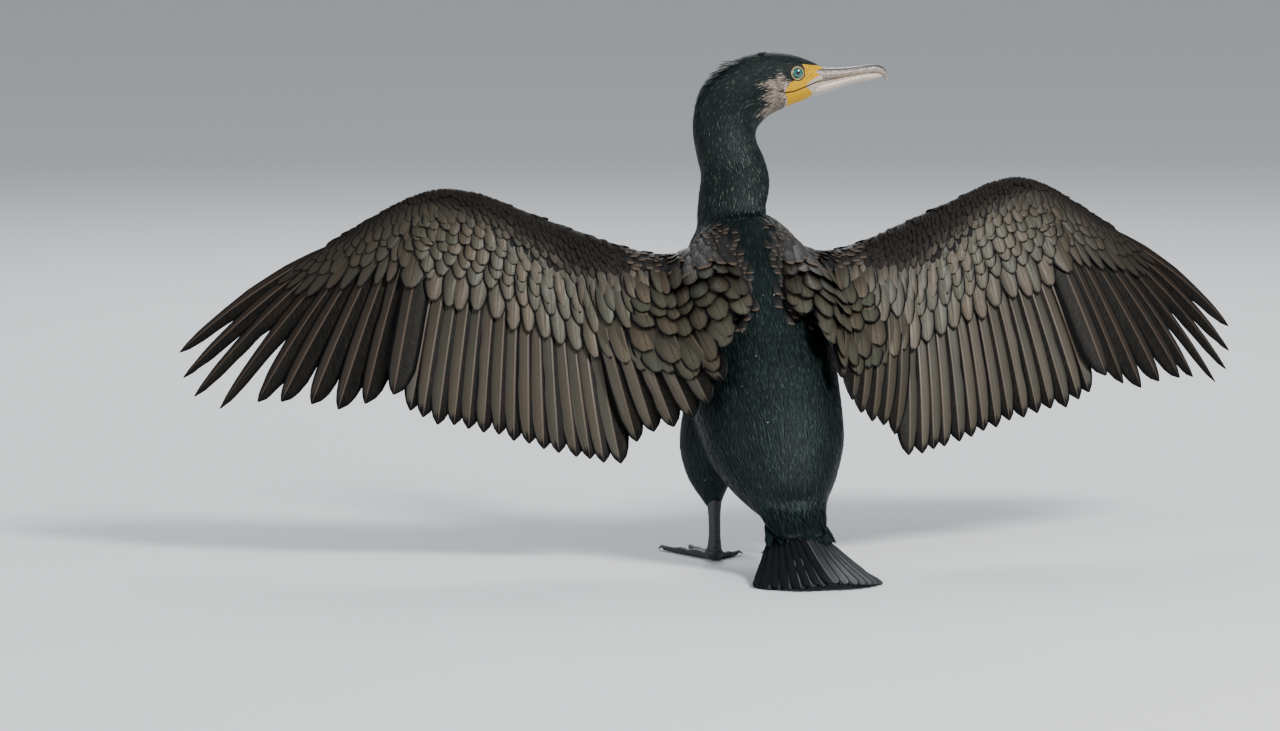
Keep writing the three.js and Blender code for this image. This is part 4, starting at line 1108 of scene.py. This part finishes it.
for name, mirror in (("right", False), ("left", True)):
    coat(f"coverts_{name}", covert_laid, bronze, [f"wing_arm_{name}"], mirror)

# %% [markdown]
# The scapulars hang from the shoulder and lie over the inner wing. The upper ones are small and
# dark with pale tips, and the lower ones are large and bronze with black edges.

# %% Scapulars, from the shoulder over the roots of the tertials
scapular_laid = covert_rows(2.0, 5.2, [(4, (0.62, 0.58, 0.42), (1.0, 0.92, 0.74), 3.0, 0.60, 0.0)])
scapular_laid += covert_rows(1.3, 5.2, [(5, (0.6, 0.52, 0.34), (1.0, 0.83, 0.61), 3.8, 0.60, 0.0)], odd=1)
scapular_laid += covert_rows(0.6, 5.2, [(6, (0.62, 0.42, 0.26), (1.0, 0.70, 0.49), 4.4, 0.62, 0.0)])
scapular_laid += covert_rows(0.0, 5.2, [
    (7, (0.62, 0.30, 0.20), (1.0, 0.57, 0.39), 4.9, 0.62, (0.3, 0.0)),
    (8, (0.52, 0.22, 0.13), (0.86, 0.45, 0.31), 5.2, 0.62, (0.5, 0.1, 0.0)),
    (9, (0.38, 0.12, 0.06), (0.71, 0.345, 0.23), 5.4, 0.62, (0.7, 0.3, 0.1)),
])
edged_laid = covert_rows(0.0, 5.0, [
    (9, (0.25, 0.06, 0.02), (0.57, 0.255, 0.165), 5.4, 0.64, 0.0, "round"),
    (10, (0.15, 0.02, 0.0), (0.45, 0.185, 0.115), 5.2, 0.64, 0.0, "round"),
    (11, (0.06, 0.0, 0.0), (0.34, 0.13, 0.08), 4.0, 0.66, 0.1, "round"),
    (12, 0.0, (0.23, 0.085, 0.055), 2.8, 0.64, 0.2, "round"),
    (13, 0.0, (0.14, 0.055, 0.045), 1.2, 0.60, 0.3, "round"),
])
scapular_laid, edged_laid = with_cells(scapular_laid), with_cells(edged_laid)
for name, mirror in (("right", False), ("left", True)):
    coat(f"scapulars_{name}", scapular_laid, bronze, [f"wing_inner_{name}"], mirror)
    coat(f"shoulder_{name}", edged_laid, mantle_edge, mirror=mirror)

# %% [markdown]
# The same rows with side = -1 lie on the underside. Small feathers close what the rows leave open
# along the leading edge.

# %% The underside of the wings, and small feathers over their flesh
under_laid = with_cells([
    covert_row(FIRST_TERTIAL, LINES, 30, 0.2, (0.5, 0.5, 0.36), 0.6, 0.7, 0.0, side=-1.0, sag=0.6),
    covert_row(FIRST_TERTIAL, LINES, 34, 0.16, (0.38, 0.36, 0.26), 1.6, 0.7, 0.2, side=-1.0, sag=0.6),
    covert_row(FIRST_TERTIAL, LINES, 38, 0.1, (0.29, 0.27, 0.19), 2.2, 0.72, 0.3, side=-1.0, sag=0.6),
    covert_row(FIRST_TERTIAL, LINES, 44, 0.05, (0.21, 0.19, 0.13), 2.2, 0.76, 0.4, side=-1.0, sag=0.6),
    covert_row(FIRST_TERTIAL, LINES, 52, 0.02, (0.14, 0.12, 0.08), 1.6, 0.8, 0.5, side=-1.0, sag=0.6),
])
flesh_rows = rows_over(FLESH, FLESH_SIDES, lambda c: float(np.interp(c[0], (34, 300, 440), (8, 6.5, 4.5))))
row_x = np.abs(flesh_rows[:, 0])
flesh_rows[:, 3:6] = hang_at(row_x)
flesh_laid = on_skin(flesh_rows, ((0, 0), (1, 1)), reach=6, keep=lambda at, n: at[:, 0] > 30)
for name, mirror in (("right", False), ("left", True)):
    coat(f"under_coverts_{name}", under_laid, under, mirror=mirror)
    coat(f"wing_down_{name}", [flesh_laid], under, mirror=mirror)

# %% [markdown]
# ## Tail
# Fourteen stiff feathers fan from the rump. The middle pair lies on top and the outermost rest on
# the floor, so no vane may go lower than that. Short coverts close the root above and below.


# %% Lay the tail
def tail_line(t, root_half=15.0):
    side = t * 2 - 1
    overlap = np.where(t > 0.5, 2.4 * (1 - side), 0)
    root_z = TAIL_ROOT[2] - 9 * np.abs(side) + overlap
    root = np.stack([root_half * side, np.full_like(t, TAIL_ROOT[1]), root_z], 1)
    level = 0.6 + (1 - np.abs(side)) * 6 + overlap
    length = TAIL_LENGTH - 26 * side**2 + rng.normal(0, 1.2, len(t))
    flat = np.sqrt(length**2 - (root[:, 2] - level) ** 2)
    tip = np.stack([root[:, 0] + np.sin(side * 0.4) * flat, root[:, 1] - np.cos(side * 0.4) * flat, level], 1)
    return root, tip, side


tail_root, tail_tip, tail_side = tail_line(np.linspace(0, 1, TAIL_COUNT))
upward = np.broadcast_to((0.0, 0.0, 1.0), tail_root.shape)
tail_cells = np.stack([np.arange(TAIL_COUNT) / TAIL_COUNT, np.zeros(TAIL_COUNT)], 1)
tail_laid = []
for half_of in (tail_side < 0, tail_side > 0):
    looks = (upward[half_of], upward[half_of])
    tail_laid.append(lay(LONG, tail_root[half_of], tail_tip[half_of], looks, (10.5, 10.5), "blunt",
                         tilt=0.09 * np.sign(tail_side[half_of]), sag=-6, camber=0.12, ridge=0.7, thick=0.5,
                         rag=0.07, patch=tail_cells[half_of], span=(1 / TAIL_COUNT, 1.0), lowest=0.05))
coat("tail_feathers", tail_laid, slate, ["tail"])


def tail_cover(count, s0, s1, lift, half, below=False):
    """A row of short feathers over or under the tail, from one share of its length to another."""
    side = np.linspace(-0.8, 0.8, count) + rng.uniform(-0.05, 0.05, count)
    roots, tips, _ = TAIL_PLACES
    known = np.linspace(-1, 1, len(roots))
    root, tip = (np.stack([np.interp(side, known, line[:, k]) for k in range(3)], 1)
                 for line in (roots, tips))
    ends = []
    for share, more in ((np.full(count, s0), 1.3), (s1 + rng.normal(0, 0.03, count), 1.0)):
        at = root + (tip - root) * share[:, None]
        at[:, 2] += -24 * np.clip(share, 0, 1) * (1 - share) + (-lift - 1 if below else lift) * more
        ends.append(at)
    look = np.tile((0.0, 0.0, -1.0 if below else 1.0), (count, 1))
    return lay(SHORT, *ends, (look, look), (half, half), "covert", sag=1.5, camber=0.3, rag=0.1, lowest=0.4)


TAIL_PLACES = tail_line(np.linspace(0, 1, 15), 27.0)
over_tail = [(15, 0.06, 0.35, 1.0, 5.0), (16, 0.0, 0.29, 2.0, 4.8), (17, -0.05, 0.24, 3.2, 4.6),
             (18, -0.09, 0.19, 4.6, 4.4), (17, -0.12, 0.14, 6.0, 4.4)]
under_tail = [(14, 0.02, 0.32, 1.2, 5.2), (14, -0.06, 0.22, 2.6, 5.2), (14, -0.1, 0.13, 4.4, 5.2)]
cover_laid = [tail_cover(*row) for row in over_tail]
cover_laid += [tail_cover(*row, True) for row in under_tail]
coat("tail_coverts", with_cells(cover_laid), gloss)

# %% [markdown]
# ## Bill
# Both halves are lofts whose circles are pressed into a rounder or sharper section afterwards: a
# ridge on the upper one, a long groove beside it, and a hooked nail at the tip.


# %% Bill, upper and lower
def bill(stations, name, material, node, upper):
    bm = loft(stations, FORWARD, rings=80, around=40)
    co = coordinates(bm)
    fine = spline([s[0] for s in stations], np.linspace(0, 1, 200))
    size = spline([s[1] for s in stations], np.linspace(0, 1, 200))
    near = np.linalg.norm(co[:, None] - fine[None], axis=-1).argmin(1)
    centre, half = fine[near], size[near]
    up = (co[:, 2] - centre[:, 2]) / np.maximum(half[:, 1], 0.5)
    if upper:
        groove = np.exp(-((up - 0.42) / 0.16) ** 2) * np.interp(co[:, 0], (96, 106, 150, 166), (0, 1, 1, 0))
        slit = np.exp(-((up - 0.2) / 0.1) ** 2) * np.interp(co[:, 0], (112, 115, 126, 129), (0, 1, 1, 0))
        co[:, 1] -= (co[:, 1] - HEAD_Y) * (0.12 * groove + 0.10 * slit)
        co[:, 1] -= (co[:, 1] - HEAD_Y) * 0.18 * np.clip(up, 0, 1) ** 2
        plates = 0.10 * np.sin(co[:, 0] * 1.9) * np.interp(co[:, 0], (125, 150, 160), (1, 1, 0))
        co[:, 2] += plates * np.clip(up, 0, 1)
        ridge = np.clip(up * 1.15, 0, 1) + np.interp(co[:, 0], (150, 172), (0, 0.15))
    else:
        co[:, 1] -= (co[:, 1] - HEAD_Y) * 0.16 * np.clip(-up, 0, 1) ** 2
        ridge = np.clip(-up * 0.5, 0, 1) + np.exp(-((up - 0.7) / 0.3) ** 2) * 0.3
    move(bm, co)
    made = piece(bm, name, material, [node])
    made.data.attributes.new("ridge", "FLOAT", "POINT").data.foreach_set("value", ridge.astype(np.float32))


bill(UPPER_BILL, "bill_upper_horn", upper_horn, "bill_upper", True)
bill(LOWER_BILL, "bill_lower_horn", lower_horn, "bill_lower", False)

# %% [markdown]
# ## Eyes
# A ball for each eye, seen through a round opening. Two rings are spun around it: a beaded pale
# one at its edge and a black one outside that.

# %% Eyes and lids
QUARTER = math.pi / 2
RINGS = (("lid", 6.5, 0.7, 20.0, lid_material, "gular_skin"),
         ("orbit", 7.8, 0.85, 19.5, foot_material, "black_skin"))
for side, name in ((-1, "right"), (1, "left")):
    ball = bmesh.new()
    bmesh.ops.create_uvsphere(ball, u_segments=48, v_segments=32, radius=EYE_RADIUS)
    outward = Matrix.Rotation(-side * QUARTER, 3, "X")
    bmesh.ops.rotate(ball, verts=ball.verts[:], cent=(0, 0, 0), matrix=outward)
    out = coordinates(ball)[:, 1] * side / EYE_RADIUS
    angle = np.arccos(np.clip(out, -1, 1))
    bmesh.ops.translate(ball, verts=ball.verts[:], vec=(EYE_AT[0], HEAD_Y + side * EYE_AT[1], EYE_AT[2]))
    eye = piece(ball, f"eyeball_{name}", eye_material, [f"eye_{name}"])
    eye.data.attributes.new("angle", "FLOAT", "POINT").data.foreach_set("value", angle.astype(np.float32))
    for ring_name, far, thick, depth, material, slot in RINGS:
        ring = bmesh.new()
        stand = Matrix.Translation((far, 0, 0)) @ Matrix.Rotation(QUARTER, 4, "X")
        bmesh.ops.create_circle(ring, segments=12, radius=thick, matrix=stand)
        bmesh.ops.spin(ring, geom=ring.verts[:] + ring.edges[:], cent=(0, 0, 0), axis=(0, 0, 1),
                       angle=2 * math.pi, steps=72, use_merge=True)
        co = coordinates(ring)
        turn = np.arctan2(co[:, 1], co[:, 0])
        co[:, 2] += 0.18 * np.sin(turn * 24) * (ring_name == "lid")
        out_y = HEAD_Y + side * (depth + co[:, 2])
        move(ring, np.stack([co[:, 0] + EYE_AT[0], out_y, co[:, 1] + EYE_AT[2]], 1))
        piece(ring, f"{ring_name}_{name}", material)

# %% [markdown]
# ## Legs and feet
# The shank and the toes are lofts with knuckles; the web between two toes is a grid pulled in at
# its front edge, sagging a little and made solid. Claws are short curved lofts.


# %% Legs and feet
def toe_stations(tip, radius):
    x, y = TOE_ROOT
    stations = []
    for i, t in enumerate((0, 0.18, 0.36, 0.5, 0.66, 0.82, 1)):
        r = (radius[0] + (radius[1] - radius[0]) * t) * (1.08 if i % 2 == 0 else 0.9)
        stations.append(((x + (tip[0] - x) * t, y + (tip[1] - y) * t, r * 0.9 + 0.25), (r, r * 0.88)))
    return stations


def claw_stations(tip, radius):
    way = unit(np.array([tip[0] - TOE_ROOT[0], tip[1] - TOE_ROOT[1]]))
    r = radius[1]
    marks = ((-0.3, 1.1, 0.9), (0.25, 1.42, 0.82), (0.62, 1.15, 0.56), (1.0, 0.26, 0.16))
    stations = []
    for t, z, s in marks:
        out = CLAW_LENGTH * t
        stations.append(((tip[0] + way[0] * out, tip[1] + way[1] * out, r * z), (r * s, r * s * 0.85)))
    return stations


def web(one, other):
    bm = bmesh.new()
    bmesh.ops.create_grid(bm, x_segments=18, y_segments=18, size=1)
    co = coordinates(bm)
    a, v = (co[:, 0] + 1) / 2, (co[:, 1] + 1) / 2
    root = np.array(TOE_ROOT) + (0, -2)
    front = np.outer(1 - a, one) + np.outer(a, other)
    pull = 0.20 * 4 * a * (1 - a)
    flat = root + (front - root) * (v * (1 - pull))[:, None]
    folds = 0.35 * np.sin(a * 22) * v
    height = 2.0 + (1 - v) * 3.5 - 1.0 * np.sin(a * math.pi) + folds
    move(bm, np.column_stack([flat, height]))
    bmesh.ops.remove_doubles(bm, verts=bm.verts[:], dist=0.01)
    bmesh.ops.solidify(bm, geom=bm.faces[:], thickness=0.9)
    co = coordinates(bm)
    co[:, 2] = np.maximum(co[:, 2], 0.1)
    move(bm, co)
    return bm


# %% [markdown]
# Both feet are the same, so one is built and then mirrored. The heel is an egg-shaped pad that hides
# where the toes meet the shank.

# %% Put the feet together
claw_nodes = ("claw_hind", "claw_inner", "claw_middle", "claw_outer")
foot_parts = [loft(toe_stations(*t), (t[0][1] + 4, STANCE - t[0][0], 0), rings=40, around=18) for t in TOES]
foot_parts.append(loft(TARSUS, ACROSS, rings=44, around=24))
pads = bmesh.new()
pad_shape = Matrix.Translation((STANCE, -6, 8)) @ Matrix.Diagonal((10, 11.5, 7.8, 1))
bmesh.ops.create_uvsphere(pads, u_segments=24, v_segments=14, radius=1, matrix=pad_shape)
foot_parts.append(pads)
web_parts = [web(TOES[i][0], TOES[i + 1][0]) for i in range(3)]
claw_parts = [loft(claw_stations(*t), (t[0][1] + 4, STANCE - t[0][0], 0), rings=20, around=14) for t in TOES]
foot_bm, web_bm, claw_bm = together(foot_parts), together(web_parts), together(claw_parts)
for name, flip in (("right", 1), ("left", -1)):
    for bm, label, material, slot, nodes in (
            (foot_bm, "leg", foot_material, "black_skin", ["tarsus", "foot"]),
            (web_bm, "web", web_material, "black_skin", []),
            (claw_bm, "claws", claw_material, "claw", list(claw_nodes))):
        copy = bm.copy()
        bmesh.ops.scale(copy, verts=copy.verts[:], vec=(flip, 1, 1))
        made = piece(copy, f"{label}_{name}", material, [f"{n}_{name}" for n in nodes])
        if label == "claws":
            made.data.attributes.new("ridge", "FLOAT", "POINT")
for bm in (foot_bm, web_bm, claw_bm):
    bm.free()

# %% [markdown]
# ## Head feathers that stand out
# On the back of the head and down the nape the feathers end in loose points. They are longer
# tufts of the same kind, leaning away from the skin, so the outline there is ragged.

# %% Nape and brow tufts, and the coat of the head
TUFTS, BROW_TUFTS = 190, 60
NAPE_X, NAPE_Z, NAPE_RADIUS = 6, 487, 40
angles = rng.uniform(-0.75, 1.6, TUFTS)
sideways = rng.uniform(-14, 14, TUFTS)
start = np.stack([NAPE_X - np.cos(angles) * NAPE_RADIUS, HEAD_Y + sideways,
                  NAPE_Z + np.sin(angles) * NAPE_RADIUS], 1)
down = np.stack([-np.sin(angles) * 0.9, np.zeros(TUFTS), -np.cos(angles) - 0.25], 1)
low, low_normal, _ = nearest(start)
length = rng.uniform(8, 16, (TUFTS, 1))
tuft_tip = low + unit(down) * length + low_normal * rng.uniform(0.8, 5.0, (TUFTS, 1))
tuft_patch = np.stack([np.linspace(0, 0.99, TUFTS), np.full(TUFTS, 0.95)], 1)
head_laid.append(lay(SHORT, low - low_normal * 0.4, tuft_tip, (low_normal, low_normal), (1.7, 1.7), "tuft",
                     sag=0.6, rag=0.2, patch=tuft_patch))
brow_x, brow_side = rng.uniform(30, 72, BROW_TUFTS), rng.uniform(-10, 10, BROW_TUFTS)
above = np.full(BROW_TUFTS, 545.0)
low, low_normal, _ = nearest(np.stack([brow_x, HEAD_Y + brow_side, above], 1))
backward = unit(np.stack([np.full(BROW_TUFTS, -1.0), brow_side * 0.01, np.zeros(BROW_TUFTS)], 1))
brow_tip = low + backward * 6.5 + low_normal * rng.uniform(0.3, 1.8, (BROW_TUFTS, 1))
brow_patch = np.stack([np.linspace(0, 0.99, BROW_TUFTS), np.full(BROW_TUFTS, 0.97)], 1)
head_laid.append(lay(SHORT, low - low_normal * 0.3, brow_tip, (low_normal, low_normal), (1.1, 1.1), "tuft",
                     sag=0.4, rag=0.2, patch=brow_patch))
coat("coat_head", head_laid, head_vanes)

# %% [markdown]
# ## Camera, floor and light
# The camera stands far behind the bird, a little to its left and above it, as in the photo. The
# floor is plain and pale, and large soft lamps give the dark feathers something to reflect.

# %% Camera
target = Vector((-120.5, 52.4, 206.8)) / 1000 + Vector(SHIFT / 1000)
forward = Vector((0.2406, 0.9650, -0.1045)).normalized()
DISTANCE, VIEW_WIDTH, SENSOR = 9.0, 1.3824, 36.0
camera = bpy.data.objects.new("camera", bpy.data.cameras.new("camera"))
camera.data.sensor_width, camera.data.lens = SENSOR, SENSOR * DISTANCE / VIEW_WIDTH
camera.data.clip_start, camera.data.clip_end = 0.1, 100
camera.location = target - forward * DISTANCE
camera.rotation_euler = forward.to_track_quat("-Z", "Y").to_euler()
bpy.context.scene.collection.objects.link(camera)
bpy.context.scene.camera = camera
print("lens", round(camera.data.lens, 1))

# %% Floor and light
floor_bm = bmesh.new()
bmesh.ops.create_circle(floor_bm, cap_ends=True, segments=96, radius=40)
floor_mesh = bpy.data.meshes.new("floor")
floor_bm.to_mesh(floor_mesh)
floor_bm.free()
floor = bpy.data.objects.new("floor", floor_mesh)
floor.location.z = -0.0004
floor_paint = bpy.data.materials.new("Floor_paint")
floor_paint.use_nodes = True
paint = floor_paint.node_tree.nodes["Principled BSDF"].inputs
paint["Base Color"].default_value = (0.74, 0.75, 0.76, 1)
paint["Roughness"].default_value = 0.9
floor_mesh.materials.append(floor_paint)
bpy.context.scene.collection.objects.link(floor)
floor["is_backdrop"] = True
world = bpy.data.worlds.new("Studio")
world.use_nodes = True
sky = world.node_tree.nodes["Background"].inputs
sky["Color"].default_value = (0.80, 0.86, 0.92, 1)
sky["Strength"].default_value = 0.5
bpy.context.scene.world = world
LAMPS = (("key", (1.8, -3.0, 3.4), 1.2, 260), ("fill", (-3.4, -1.6, 1.8), 2.2, 60),
         ("rim", (0.6, 3.2, 2.8), 1.8, 90))
for name, place, size, power in LAMPS:
    lamp = bpy.data.objects.new(name, bpy.data.lights.new(name, "AREA"))
    lamp.data.size, lamp.data.energy = size, power
    lamp.location = place
    lamp.rotation_euler = (Vector((0, 0.03, 0.25)) - lamp.location).to_track_quat("-Z", "Y").to_euler()
    bpy.context.scene.collection.objects.link(lamp)
    lamp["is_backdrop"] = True
print("floor and", len(LAMPS), "lamps")

# %% [markdown]
# The last cell measures everything again and compares it with the CAD's box, so that a piece that
# sticks out of it shows up as a number.

# %% Measure and finish
made_low, made_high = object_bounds()
sides = zip((*made_low, *made_high), (*cad_low, *cad_high))
print("visual less CAD, mm", [round((a - b) * 1000, 1) for a, b in sides])
